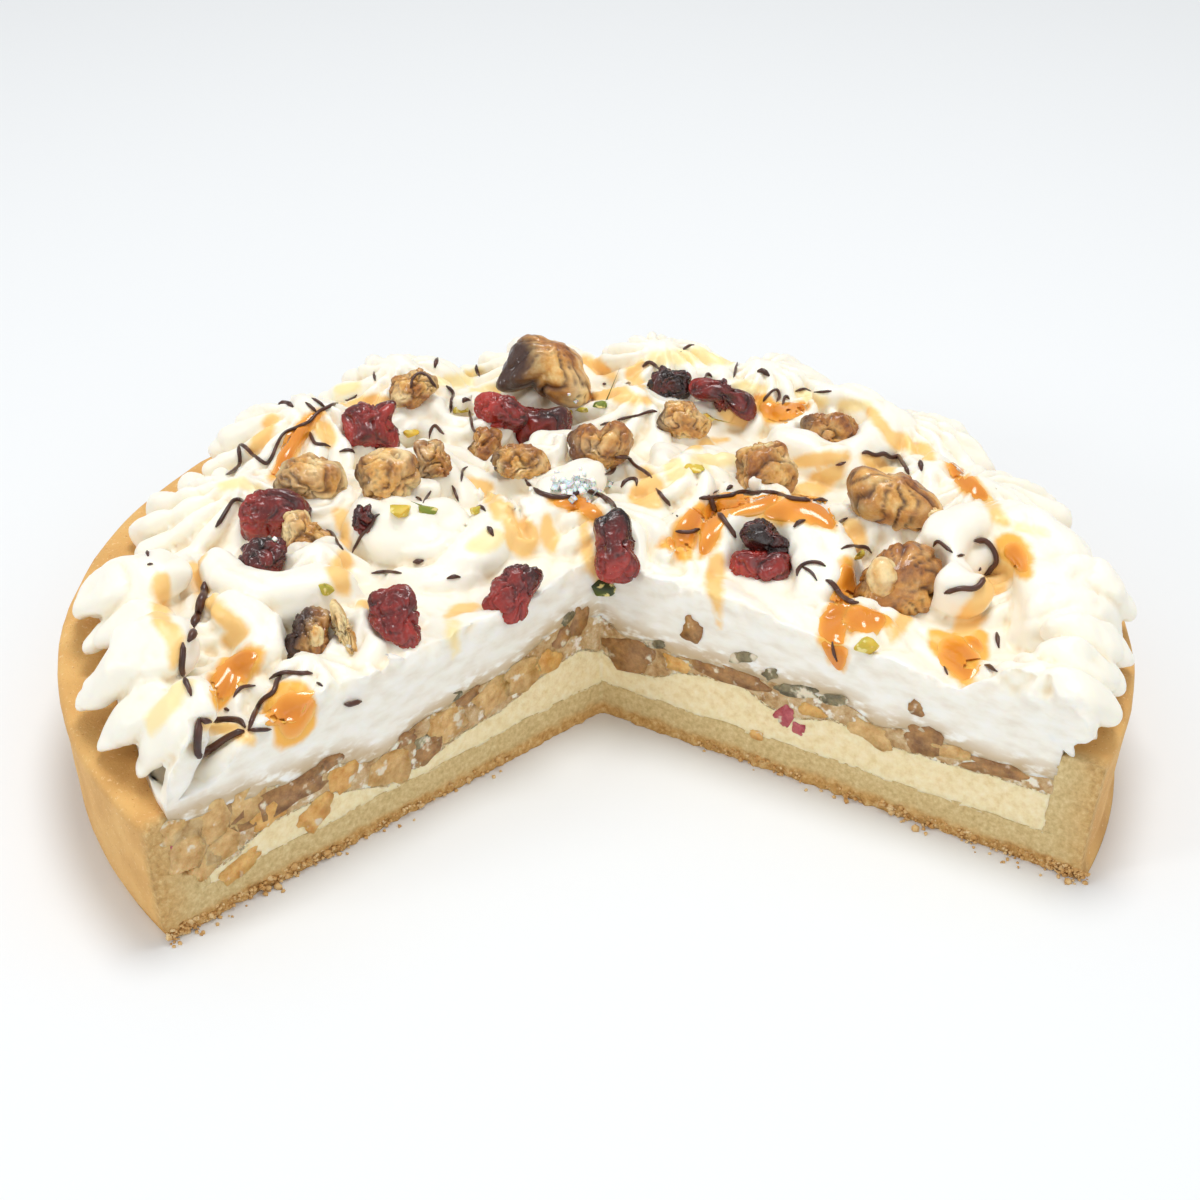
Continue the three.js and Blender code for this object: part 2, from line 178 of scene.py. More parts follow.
# %% Painted numbers, spun bodies and other helpers
def store(obj, name, values):
    """Stores a number for every vertex, which a material can read by its name."""
    obj.data.attributes.new(name, "FLOAT", "POINT").data.foreach_set("value", values)


def paint(obj, name, value_at):
    """Stores what a function gives for each vertex's place."""
    store(obj, name, [value_at(v.co) for v in obj.data.vertices])


def spun(section, steps):
    """A closed body of revolution from a half section of (radius, height) points on the axis at both ends."""
    bm = bmesh.new()
    line = [bm.verts.new((r, 0.0, z)) for r, z in section]
    for a, b in zip(line, line[1:]):
        bm.edges.new((a, b))
    bmesh.ops.spin(bm, geom=bm.verts[:] + bm.edges[:], cent=(0, 0, 0), axis=(0, 0, 1), dvec=(0, 0, 0),
                   angle=2 * math.pi, steps=steps, use_merge=True, use_duplicate=False)
    bmesh.ops.remove_doubles(bm, verts=bm.verts[:], dist=0.001)
    bmesh.ops.recalc_face_normals(bm, faces=bm.faces[:])
    return bm


def gather(parts):
    """Joins several small meshes into one."""
    whole = bmesh.new()
    for part in parts:
        mesh = bpy.data.meshes.new("part")
        part.to_mesh(mesh)
        part.free()
        whole.from_mesh(mesh)
        bpy.data.meshes.remove(mesh)
    return whole


def soften(bm, rounds=1, factor=0.5, verts=None):
    """Moves vertices towards their neighbours."""
    for _ in range(rounds):
        bmesh.ops.smooth_vert(bm, verts=bm.verts[:] if verts is None else verts, factor=factor,
                              use_axis_x=True, use_axis_y=True, use_axis_z=True)


def ease_edges(bm, width, segments):
    """Bevels every edge."""
    bmesh.ops.bevel(bm, geom=bm.edges[:], offset=width, offset_type="OFFSET", affect="EDGES", segments=segments,
                    profile=0.5, material=-1)


def finder(points):
    """A search tree that finds the points near a place."""
    tree = kdtree.KDTree(len(points))
    for index, co in enumerate(points):
        tree.insert(co, index)
    tree.balance()
    return tree


# %% Tables of numbers, and smooth lines
def rows_of(text):
    """Rows of numbers from a text that has a semicolon between rows."""
    return [[float(number) for number in row.split()] for row in text.split(";")]


def points_of(numbers, each):
    """A flat row of numbers as points of so many numbers each."""
    return list(zip(*[iter(numbers)] * each))


def along(points, x):
    """The height of a line of (x, height) points over x."""
    for (x0, y0), (x1, y1) in zip(points, points[1:]):
        if x <= x1:
            return mix(y0, y1, clamp((x - x0) / (x1 - x0)))
    return points[-1][1]


def smooth_between(a, b, c, d, t):
    """A smooth curve's value between b and c, from its neighbours a and d too."""
    return 0.5 * (2 * b + (c - a) * t + (2 * a - 5 * b + 4 * c - d) * t * t + (3 * b - a - 3 * c + d) * t ** 3)


def rounded(points, each):
    """A smooth line through points, with some more points between each two."""
    ends = [points[0], *points, points[-1]]
    line = [tuple(smooth_between(*four, i / each) for four in zip(*near))
            for near in zip(ends, ends[1:], ends[2:], ends[3:]) for i in range(each)]
    return [*line, points[-1]]


# %% [markdown]
# ## Materials
# Food is rarely one flat colour: light goes a little way into cream and custard, sugar shines, and
# baking leaves speckles. Each material below starts from what the real food is. One function adds a
# node with its settings and links, and another builds a whole finish from a short description: a base
# colour, the layers that cover it, and a relief. Colours are the sRGB hex values that we see, and the
# grain of each pattern is in real millimetres.

# %% Node and colour helpers
def linear(hex_colour):
    """An sRGB hex colour as the linear colour that Blender wants."""
    channels = [int(hex_colour[i:i + 2], 16) / 255 for i in (1, 3, 5)]
    return (*[c / 12.92 if c <= 0.04045 else ((c + 0.055) / 1.055) ** 2.4 for c in channels], 1.0)


def add(tree, kind, inputs=None, output=0, stops=(), **settings):
    """Adds one node with its settings and ramp stops. Inputs are values or other nodes' outputs."""
    node = tree.nodes.new("ShaderNode" + kind)
    for key, value in settings.items():
        setattr(node, key, value)
    for index, (position, colour) in enumerate(stops):
        points = node.color_ramp.elements
        point = points[index] if index < 2 else points.new(position)
        point.position, point.color = position, linear(colour)
    for key, value in (inputs or {}).items():
        if isinstance(value, bpy.types.NodeSocket):
            tree.links.new(value, node.inputs[key])
        else:
            node.inputs[key].default_value = value
    return node.outputs[output]


# %% From a plain description to a material
def source(tree, what):
    """What a colour or a mask comes from: a node's output, a function of the tree, a hex colour, the name of a
    painted number, a ramp as [source, stop, stop...], noise as (grain in mm, detail, roughness), or either
    (source, low, high) or noise with two more numbers, which is 0 at the low one and 1 at the high one."""
    if isinstance(what, bpy.types.NodeSocket):
        return what
    if callable(what):
        return what(tree)
    if isinstance(what, str):
        return linear(what) if what[0] == "#" else add(tree, "Attribute", output="Fac", attribute_name=what)
    if isinstance(what, list):
        return add(tree, "ValToRGB", {"Fac": source(tree, what[0])}, "Color", what[1:])
    if isinstance(what[0], (int, float)):
        size, detail, roughness, *edge = what
        value = add(tree, "TexNoise", {"Vector": add(tree, "TexCoord", output="Object"), "Scale": 1 / (size * MM),
                                       "Detail": detail, "Roughness": roughness}, "Fac")
    else:
        value, *edge = what
    if edge:
        value = add(tree, "MapRange", {"Value": source(tree, value), "From Min": edge[0], "From Max": edge[1]},
                    "Result", interpolation_type="SMOOTHSTEP")
    return value


def covered(tree, base, layers):
    """A colour under layers of (mask, colour), or (mask, colour, strength)."""
    colour = source(tree, base)
    for mask, over, *strength in layers:
        factor = source(tree, mask)
        if strength:
            factor = add(tree, "Math", {0: factor, 1: strength[0]}, operation="MULTIPLY")
        colour = add(tree, "Mix", {0: factor, 6: colour, 7: source(tree, over)}, 2, data_type="RGBA")
    return colour


def finish_of(name, base, layers=(), relief=None, **settings):
    """A material. relief is (noise, depth in mm, strength), and the settings go to the shader's own sockets."""
    material = bpy.data.materials.new(name)
    material.use_nodes = True
    tree = material.node_tree
    shader = tree.nodes["Principled BSDF"]
    for socket, value in settings.items():
        shader.inputs[socket.replace("_", " ").title()].default_value = value
    colour = covered(tree, base, layers)
    if isinstance(colour, bpy.types.NodeSocket):
        tree.links.new(colour, shader.inputs["Base Color"])
    else:
        shader.inputs["Base Color"].default_value = colour
    if relief:
        height, depth, strength = relief
        bumps = add(tree, "Bump", {"Height": source(tree, height), "Distance": depth * MM, "Strength": strength},
                    "Normal")
        tree.links.new(bumps, shader.inputs["Normal"])
    return material


# %% [markdown]
# ### Shortcrust
# Flour, butter and sugar, baked golden outside and pale and sandy where it is cut. The outside was
# pressed against a tin, so it is smooth with a fine speckle; the cut shows sand-like grains of about
# half a millimetre, and the very bottom is toasted. A painted number tells the shader which is which.

# %% Shortcrust material
def sandy_inside(tree):
    return covered(tree, [(1.3, 4, 0.65), (0.25, "#B99C64"), (0.5, "#D2B881"), (0.78, "#E7D3A0")],
                   [("toasted", [(1.5, 4, 0.7), (0.25, "#A06E30"), (0.5, "#CC9E5A"), (0.75, "#EACD94")])])


CRUST_LOOK = finish_of(
    "baked shortcrust", [(14, 3, 0.5), (0.3, "#D09C57"), (0.55, "#DFAE66"), (0.8, "#E8BC75")],
    [((1.1, 3, 0.7, 0.58, 0.7), "#EBC68D"), ((0.9, 2, 0.7, 0.64, 0.74), "#BE8440"), ("cut", sandy_inside)],
    relief=((0.7, 3, 0.7), 0.35, 0.7), roughness=0.75, subsurface_weight=0.06, subsurface_scale=0.002)

# %% [markdown]
# ### Custard
# Egg, milk and sugar, baked until set. It is dense and pale yellow with a moist, finely curdled cut,
# so it gets a little scattering and a low soft gloss.

# %% Custard material
CUSTARD_LOOK = finish_of(
    "baked custard", [(2.2, 4, 0.6), (0.25, "#E4CA92"), (0.5, "#F3E0B2"), (0.75, "#FAECC8")],
    relief=((1.2, 3, 0.6), 0.4, 0.6), roughness=0.55, subsurface_weight=0.25, subsurface_scale=0.004,
    subsurface_radius=(1.0, 0.6, 0.25))

# %% [markdown]
# ### Fruit and nuts
# Between custard and cream lie chopped apple, candied fruit and nuts, held in a little light custard
# and smeared by the knife. The layer itself is the light part; the chunks are separate meshes.

# %% Fruit layer and chunk materials
FRUIT_LOOK = finish_of(
    "light custard with fruit",
    [(4, 5, 0.65), (0.3, "#8C6636"), (0.44, "#B68E58"), (0.6, "#D2B588"), (0.75, "#E8DBC2")],
    [((4.5, 3, 0.6, 0.54, 0.66), "#EFE6D4")],
    relief=((1.5, 3, 0.5), 0.6, 0.8), roughness=0.4, subsurface_weight=0.2, subsurface_scale=0.003)


def moist_chunk(name, dark, light, smear):
    """Soft fruit or nut that the knife went through, with some cream smeared over it."""
    return finish_of(name, [(3.5, 4, 0.65), (0.32, dark), (0.66, light)],
                     [((5, 3, 0.55, smear - 0.04, smear + 0.06), "#E6D9BF")], relief=((1.2, 4, 0.5), 0.4, 0.7),
                     roughness=0.36, subsurface_weight=0.25, subsurface_scale=0.002)


APPLE_LOOK = moist_chunk("stewed apple", "#BA873F", "#E5C083", 0.62)
CANDIED_LOOK = moist_chunk("candied peel", "#C98A38", "#EBBE72", 0.64)
NUT_CUT_LOOK = moist_chunk("cut walnut", "#7C522B", "#B98A52", 0.62)
SKIN_LOOK = moist_chunk("dark nut skin", "#4C4630", "#9A8D68", 0.56)
SMEAR_LOOK = moist_chunk("crushed cranberry", "#9A2036", "#CC6C70", 0.68)

# %% [markdown]
# ### Sour cream
# Whipped sour cream is white, dense and satin. Light goes some millimetres in and comes out warmer, and
# its creases are painted a darker ivory as painted shade: a painted number holds how deep in a crease a
# point lies and sets how much painted shade it gets. Another holds how far a point is from the edge of the
# thin caramel that stains the cream.

# %% Cream material
def sliced_cream(tree):
    """Long streaks along the cut, which the knife made dirty near the fruit."""
    place = add(tree, "Attribute", output="Vector", attribute_name="streak")
    streak = add(tree, "TexNoise", {"Vector": place, "Scale": 1.0, "Detail": 3.0}, "Fac")
    dirty = add(tree, "Math", {0: source(tree, "near_fruit"), 1: source(tree, (streak, 0.66, 0.48))},
                operation="MULTIPLY")
    return covered(tree, [streak, (0.3, "#EDE6D8"), (0.5, "#F7F3E8"), (0.66, "#FBF8F0")], [(dirty, "#C9B08A")])


def soaked_edge(tree):
    """A ragged edge, 3 mm wide, of what the caramel has soaked."""
    ragged = add(tree, "Math", {0: source(tree, (5, 3, 0.5)), 1: 3.0}, operation="MULTIPLY")
    edge = add(tree, "Math", {0: source(tree, "sauce"), 1: ragged}, operation="ADD")
    return source(tree, (edge, 0.9, 3.2))


def soaked_cream(tree):
    return covered(tree, "#FFE8B0", [("rich", "#FDB94C")])


# The ivory layer on hollow is painted shade: it darkens the cream in its creases.
CREAM_LOOK = finish_of(
    "whipped sour cream", "#FDF7E8", [("hollow", "#EFD6A6"), ("cut", sliced_cream), (soaked_edge, soaked_cream)],
    relief=((6, 2, 0.5), 0.35, 0.35), roughness=0.4, subsurface_weight=0.4, subsurface_scale=0.003,
    subsurface_radius=(1.0, 0.78, 0.55), coat_weight=0.12, coat_roughness=0.3)

# %% [markdown]
# ### Toppings
# Walnuts are glazed: tan flesh under a thin darker skin with fine veins. Dried cranberries are dark
# red, sticky and wrinkled. The folds and veins are painted as phases, so that the shader can draw
# lines that are sharper than the mesh. The dark colour along a walnut's folds is partly its darker
# skin there and partly painted shade in the creases.

# %% Walnut and berry materials
# Along the folds the colour is darkened both for the darker skin in the creases and for painted shade there.
WALNUT_LOOK = finish_of(
    "glazed walnut", [(3, 4, 0.6), (0.28, "#C47E2A"), (0.48, "#E6AE5A"), (0.72, "#F8D894")],
    [("skin", [(2.6, 4, 0.6), (0.3, "#7A4217"), (0.52, "#AE6D28"), (0.76, "#D69846")]), ("pale", "#F8DFA6"),
     ("fold", "#6E3C14", 0.75), ("vein", "#4A260F", 0.8), ("dark", "#40200F")],
    relief=((0.8, 4, 0.65), 0.35, 0.8), roughness=0.33, subsurface_weight=0.15, subsurface_scale=0.0015,
    subsurface_radius=(1.0, 0.5, 0.18), coat_weight=0.55, coat_roughness=0.12)
# On a berry, bright is a painted red glow of light through it, and dark is darker skin plus painted shade in the deep
# creases.
BERRY_LOOK = finish_of(
    "dried cranberry", [(4, 4, 0.6), (0.3, "#440A09"), (0.5, "#781511"), (0.72, "#A2281C")],
    [("bright", "#AE2C20"), ("dark", "#24100C"), ((1, 2, 0.8, 0.7, 0.75), "#D9A77E", 0.5)],
    relief=((1, 4, 0.6), 0.35, 0.7), roughness=0.25, subsurface_weight=0.2, subsurface_scale=0.002,
    subsurface_radius=(1.0, 0.14, 0.08), coat_weight=0.55, coat_roughness=0.1)

# %% [markdown]
# Caramel is clear, so it is darker where it is thick, and it shines most. Chocolate set with a soft gloss,
# and the rest is dry.

# %% Caramel, sugar, chocolate, pistachio and crumb materials
CARAMEL_LOOK = finish_of(
    "caramel sauce", ["depth", (0.0, "#FDE8BE"), (0.4, "#FCC765"), (0.75, "#F3A23A"), (1.0, "#E08A26")],
    roughness=0.16, subsurface_weight=0.25, subsurface_scale=0.001, subsurface_radius=(1.0, 0.6, 0.2),
    coat_weight=0.4, coat_roughness=0.06)
SUGAR_LOOK = finish_of("sugar crystals", "#FAF8F3", roughness=0.2, subsurface_weight=0.6, subsurface_scale=0.001)
CHOCOLATE_LOOK = finish_of("dark chocolate", [(4, 2, 0.5), (0.3, "#371A10"), (0.7, "#58301F")], roughness=0.35,
                           coat_weight=0.2, coat_roughness=0.3)
PISTACHIO_LOOK = finish_of(
    "chopped pistachio", ["tone", (0.0, "#E9BE3C"), (0.4, "#C3B23E"), (0.8, "#7F8F2C"), (1.0, "#33401C")],
    [((2, 3, 0.5, 0.52, 0.62), "#EBDD8E")], relief=((0.8, 3, 0.5), 0.2, 0.6), roughness=0.5,
    subsurface_weight=0.2, subsurface_scale=0.002)
CRUMB_LOOK = finish_of("toasted crumb", [(2.5, 3, 0.5), (0.3, "#C08C4A"), (0.5, "#DAB072"), (0.7, "#EDD3A2")],
                       roughness=0.8)
print("finishes:", [material.name for material in bpy.data.materials])

# %% [markdown]
# ## The knife
# The served wedge was cut out with a knife, which leaves each layer differently: shortcrust crumbles,
# custard tears finely, and cream is smeared in long streaks. So the knife is a wedge whose two sides
# carry a relief, and each layer gets its own. The wedge is a grid on the right cut, spun round the
# axis to the left cut; then both its ends are pushed in and out along the cut.

# %% Knife
def knife(relief, pitch, reach=160.0, low=-6.0, high=78.0):
    """The missing wedge as a closed body. relief(r, z, side) is in mm, and eats into the tart."""
    bm = bmesh.new()
    across, up = round(reach / pitch), round((high - low) / pitch)
    bmesh.ops.create_grid(bm, x_segments=across, y_segments=up, size=0.5)
    for v in bm.verts:
        r, z = (v.co.x + 0.5) * reach, mix(low, high, v.co.y + 0.5)
        v.co = polar(CUT_RIGHT, r, z)
    bmesh.ops.spin(bm, geom=bm.verts[:] + bm.edges[:] + bm.faces[:], cent=(0, 0, 0), axis=(0, 0, 1),
                   dvec=(0, 0, 0), angle=math.radians(CUT_LEFT - 360 - CUT_RIGHT), steps=3,
                   use_merge=False, use_duplicate=False)
    bmesh.ops.remove_doubles(bm, verts=bm.verts[:], dist=0.001)
    for side, cut in ((0, CUT_RIGHT), (1, CUT_LEFT)):
        out = polar(cut, 1.0)
        normal = polar(cut + (90 if side == 0 else -90), 1.0)
        for v in bm.verts:
            r = v.co.to_2d().dot(out.to_2d())
            if abs(v.co.dot(normal)) < 0.01 and r > 0.01:
                v.co += normal * relief(r, v.co.z, side)
    bmesh.ops.recalc_face_normals(bm, faces=bm.faces[:])
    return as_object(bm, "knife")


# %% How each layer takes the knife
def on_cut(co, depth):
    """1 on either cut face, fading to 0 a little way in."""
    near = 0.0
    for cut, turn in ((CUT_RIGHT, 90), (CUT_LEFT, -90)):
        if co.dot(polar(cut, 1.0)) > -2:
            near = max(near, 1 - ramp(abs(co.dot(polar(cut + turn, 1.0))), depth * 0.6, depth))
    return near


def wavering(r, z, side):
    """The knife's own path, which all layers share."""
    return 0.5 * rough((r, z + 90 * side, 2.0), 22.0, 5)


def crumbling(r, z, side):
    """Sandy grains, coarser at the toasted bottom and along the outer edge."""
    edge = max(1 - ramp(z, 2.5, 5.0), ramp(r, 134, 138), ramp(z, 32, 35) * ramp(r, 124, 128))
    place = (r, z + 90 * side, 7.0)
    fine = 0.22 * rough(place, 1.6) + 0.2 * rough(place, 4.0)
    return wavering(r, z, side) + fine + edge * (0.9 * rough(place, 2.2, 3) + 0.5 * rough(place, 5.0, 4) + 0.3)


def curdled(r, z, side):
    place = (r, z + 90 * side, 3.0)
    return wavering(r, z, side) + 0.15 * rough(place, 1.5) + 0.2 * rough(place, 5.0)


def smeared(r, z, side):
    """Long streaks along the cut, and a torn upper edge."""
    place = (r / 4, z + r * 0.12 + 90 * side, 5.0)
    torn = 1.3 + 2.6 * rough((r, z + 50 * side, 1.0), 8.0, 2) + 1.7 * rough((r, z + 20 * side, 1.0), 3.2, 8)
    streaks = 0.4 * rough(place, 2.2) + 0.5 * rough((r, z + 90 * side, 2.0), 9.0, 5)
    return wavering(r, z, side) + streaks + ramp(z, 40, 52) * torn


print("three knives: crumbling, curdled and smeared")

# %% [markdown]
# ## Layer heights
# The two cuts show how high each layer is at each distance from the middle. Going round the tart, the
# heights blend from one cut's to the other's. Each layer reaches half a millimetre into the one below,
# as baking joins them, so nothing gapes in the cuts.

# %% Heights of custard and fruit at the two cuts
LEFT_CUSTARD = [(0, 21), (8, 25), (18, 23), (32, 18.5), (48, 17), (62, 14), (74, 12.5), (86, 20),
                (104, 19.5), (118, 15), (126, 15)]
RIGHT_CUSTARD = [(0, 21), (6, 17), (16, 18), (26, 23), (42, 24.5), (56, 19), (68, 23.5), (82, 21),
                 (93, 21.5), (106, 22.5), (126, 23)]
LEFT_FRUIT = [(0, 32), (8, 36), (18, 35), (32, 29), (48, 29), (62, 26), (74, 22), (86, 28), (104, 30),
              (118, 32), (126, 33)]
RIGHT_FRUIT = [(0, 32), (6, 29), (16, 28), (26, 27.5), (42, 29.5), (56, 29), (68, 30.5), (82, 25.5),
               (93, 29), (106, 26), (126, 27.5)]
BASE_TOP = 11.0
RIM_TOP = 35.0
LAYER_LAP = 0.5


print("custard is", [z for _, z in RIGHT_CUSTARD], "mm high along the right cut")


def around(co):
    """0 at the right cut and 1 at the left one."""
    return clamp((degrees_round(co) - CUT_RIGHT) / (CUT_LEFT - CUT_RIGHT))


def custard_top(co):
    r = co.to_2d().length
    return mix(along(RIGHT_CUSTARD, r), along(LEFT_CUSTARD, r), around(co)) + 0.7 * rough(co, 3.5)


def fruit_top(co):
    r = co.to_2d().length
    flat = Vector((co.x, co.y, 0.0))
    lumps = (1.0 * rough(flat, 5.0) + 0.5 * rough(flat, 2.2)) * ramp(r, 0, 12)
    return mix(along(RIGHT_FRUIT, r), along(LEFT_FRUIT, r), around(co)) + lumps


def base_top(co):
    flat = Vector((co.x, co.y, 0.0))
    return BASE_TOP + 0.7 * rough(flat, 2.0) + 0.5 * rough(flat, 6.0)


def wall_inside(angle, z):
    """Inner face of the crust's wall. Fruit has eaten into it near the left cut."""
    near_left = clamp(1 - (CUT_LEFT - angle) / 14)
    hollow = 7 * near_left * ramp(z, 14, 18)
    return mix(126, 127.5, (z - BASE_TOP) / (RIM_TOP - BASE_TOP)) + hollow + 0.5 * noise.noise(
        Vector((angle * 0.5, z / 3, 0)))


# %% [markdown]
# ## Crust
# A shortcrust case is one body: a base, a wall that leans out a little and a rounded rim. It could be
# a cylinder with a hollow cut out, but one half section spun round the axis gives base, wall and rim
# together. Small moves then make it as uneven as hand-pressed dough, and the knife takes the wedge.

# %% Crust
LEANING = 1.6


def make_crust():
    outside = rounded([(0, 0), (60, 0), (120, 0), (136.6, 0), (137.6, 0.4), (138, 1.6), (138.9, 16), (139.8, 30),
                       (140.1, 33), (139.4, 34.6), (137.4, 35.3), (134, 35.2), (130, 35), (128.3, 34.6)], 4)
    inside = rounded([(127.6, 33.6), (127, 26), (126.4, 17), (126, 12.4), (125.6, 11.2), (124.6, 11),
                      (80, 11), (40, 11), (0, 11)], 10)
    bm = spun([*outside, *inside], 216)
    for v in bm.verts:
        r, angle = v.co.to_2d().length, degrees_round(v.co)
        if r < 0.01:
            v.co.z = base_top(v.co) if v.co.z > 5 else 0.0
            continue
        flat = v.co.normalized()
        if v.co.z > 2 and r > 128.5:
            wave = 0.5 * rough(v.co, 30) + 0.18 * rough(v.co, 7)
            v.co += Vector((flat.x, flat.y, 0)) * (wave - LEANING * flat.x)
            v.co.z += (0.7 * rough(v.co, 24, 2) + 0.25 * rough(v.co, 6, 3)) * ramp(v.co.z, 25, 34)
        elif v.co.z > 11.1:
            radius = wall_inside(angle, v.co.z)
            v.co.x, v.co.y = v.co.x / r * radius, v.co.y / r * radius
        elif v.co.z > 10.5:
            v.co.z = base_top(v.co)
    crust = as_object(bm, "crust_baked")
    boolean(crust, knife(crumbling, 0.8, high=40), "DIFFERENCE")
    paint(crust, "cut", lambda co: on_cut(co, 2.6))
    paint(crust, "toasted", lambda co: max(1 - ramp(co.z + 1.4 * rough(co, 3), 2.4, 5.6),
                                           0.75 * ramp(co.xy.length + 2 * rough(co, 4), 128, 139)))
    return settle(crust, CRUST_LOOK, ["crust"])


make_crust()

# %% [markdown]
# ## Custard and fruit layers
# Each layer fills the case up to the height that the cuts show. A flat disc of rings and spokes is
# enough: its lower vertices go to the layer below and its upper ones to the layer's own top.

# %% Custard, and the light part of the fruit layer
DISC_RADIUS = 128.0
WALL_LAP = 0.5
DISC_RINGS = 80
LOWER_SIDE = [(DISC_RADIUS * i / DISC_RINGS, 0.0) for i in range(DISC_RINGS + 1)]
FLAT_DISC = spun([*LOWER_SIDE, *[(r, 1.0) for r, _ in reversed(LOWER_SIDE)]], 200)


def make_layer(name, bottom, top):
    """A disc from bottom(co) to top(co) that ends just inside the wall."""
    bm = FLAT_DISC.copy()
    for v in bm.verts:
        height = top(v.co) if v.co.z > 0.5 else bottom(v.co)
        reach = (wall_inside(degrees_round(v.co), height) + WALL_LAP) / DISC_RADIUS
        v.co = Vector((v.co.x * reach, v.co.y * reach, height))
    return as_object(bm, name)


def above(height):
    return lambda co: height(co) - LAYER_LAP


custard = make_layer("custard_set", above(base_top), custard_top)
boolean(custard, knife(curdled, 1.0, high=45), "DIFFERENCE")
settle(custard, CUSTARD_LOOK, ["custard"])

fruit = make_layer("fruit_layer", above(custard_top), fruit_top)
boolean(fruit, knife(curdled, 1.0, high=45), "DIFFERENCE")
settle(fruit, FRUIT_LOOK, ["fruit_and_nuts"])

# %% [markdown]
# ## Chunks in the cuts
# The knife went through apple, candied fruit and nuts. Each chunk is a lumpy ball whose middle lies a
# little behind the cut; a plane just in front of the cut slices it flat, as the knife did. The tables
# give where each lies: distance out, height, width, height of the chunk and its turn.

# %% Chunk tables
CHUNKS = {
    "apple_chunks": (APPLE_LOOK, """
    1 53 22.5 12 11 10; 1 72 17.5 13 11 -20; 1 38 24 12 9 15; 1 28 25 12 10 -10; 1 114 28 11 10 0; 1 124 29 12 11
    25; 1 131 24 10 13 -15; 1 121 20 10 8 10; 1 133 31 9 7 0; 1 127 17 8 6 30; 0 78 23 12 7 10; 0 100 25.5 12 4 -8"""),
    "candied_chunks": (CANDIED_LOOK, """
    1 95 15.5 12 8 30; 1 117 11.5 12 6 20; 1 86 22 9 8 0; 1 108 22 10 7 15; 1 19 26 8 9 60; 0 23 24.5 8 5 0; 0 47
    10.5 4 3 0; 0 62 24 7 4 -10"""),
    "nut_chunks": (NUT_CUT_LOOK, """
    1 104 25.5 26 9 4; 1 59 17.5 10 7 20; 1 8 34 9 6 70; 1 14 31 7 5 40; 1 46 27 8 4 10; 0 8 22.5 17 11 -12; 0 27
    36.5 6.5 8 20; 0 93 26 10 9 0; 0 90 35 4 4.5 0; 1 66 24 6 4 0; 1 90 28.5 9 3.5 10; 0 112 25 18 4.5 -6; 0 38 26.5
    22 5 0"""),
    "skin_chunks": (SKIN_LOOK, """
    0 42 33.5 9 3.5 -20; 0 58 28.5 13 4 -12; 0 68 29.5 8 3 -10; 0 50 31 5 3 -30; 1 61 20.5 6 3.5 0; 1 12 36.5 6 3
    30; 0 16 28.5 7 2.6 -15; 1 50 29.5 5 2.4 0"""),
    "cranberry_smears": (SMEAR_LOOK, """
    0 55 19.5 5 7 30; 0 59 17 4 3.5 0; 1 133 26 4 4 0"""),
}
CHUNK_DEPTH = 5.0
CHUNK_BOXY = 0.72
CHUNK_PROUD = 0.2


def chunk(bm, side, r, z, width, height, turn, seed):
    """One lumpy chunk that is cut flat just in front of the cut."""
    cut = CUT_LEFT if side else CUT_RIGHT
    out, normal = polar(cut, 1.0), polar(cut + (90 if side else -90), 1.0)
    made = bmesh.ops.create_icosphere(bm, subdivisions=3, radius=1.0)["verts"]
    twist = Matrix.Rotation(math.radians(turn), 3, "Y")
    for v in made:
        p = Vector([math.copysign(abs(c) ** CHUNK_BOXY, c) for c in v.co])
        lump = 1 + 0.42 * noise.noise(v.co * 1.5 + Vector((seed, 0, 0))) + 0.2 * noise.noise(
            v.co * 4.0 + Vector((0, seed, 0)))
        p = twist @ Vector((p.x * width / 2, p.y * CHUNK_DEPTH, p.z * height / 2)) * lump
        v.co = out * (r + p.x) + normal * (p.y - CHUNK_DEPTH * 0.35) + Vector((0, 0, z + p.z))
    faces = list({f for v in made for f in v.link_faces})
    edges = list({e for v in made for e in v.link_edges})
    cut_open = bmesh.ops.bisect_plane(bm, geom=made + edges + faces, plane_co=normal * CHUNK_PROUD,
                                      plane_no=normal, clear_outer=True)["geom_cut"]
    rim = [e for e in cut_open if isinstance(e, bmesh.types.BMEdge)]
    bmesh.ops.triangle_fill(bm, edges=rim, use_beauty=True, normal=normal)
    for v in {v for v in made if v.is_valid} | {v for e in rim for v in e.verts}:
        v.co -= normal * wavering(v.co.dot(out), v.co.z, side)


def make_chunks(name, look, rows):
    bm = bmesh.new()
    for index, row in enumerate(rows):
        chunk(bm, *row, seed=3.7 * index + len(name))
    bmesh.ops.recalc_face_normals(bm, faces=bm.faces[:])
    return settle(as_object(bm, name), look)


for name, (look, text) in CHUNKS.items():
    make_chunks(name, look, rows_of(text))

# %% [markdown]
# ## Piped cream
# Each swirl is piped with a star nozzle: a squeeze makes a bulge with rounded lobes and sharp creases
# between them, and the lobes turn as the nozzle is pulled up to a peak. We spin one half section into a
# dome and then move its vertices: the absolute value of a cosine gives exactly such lobes. The tables
# hold degrees round, distance out, radius, top, number of lobes and twist of each swirl.

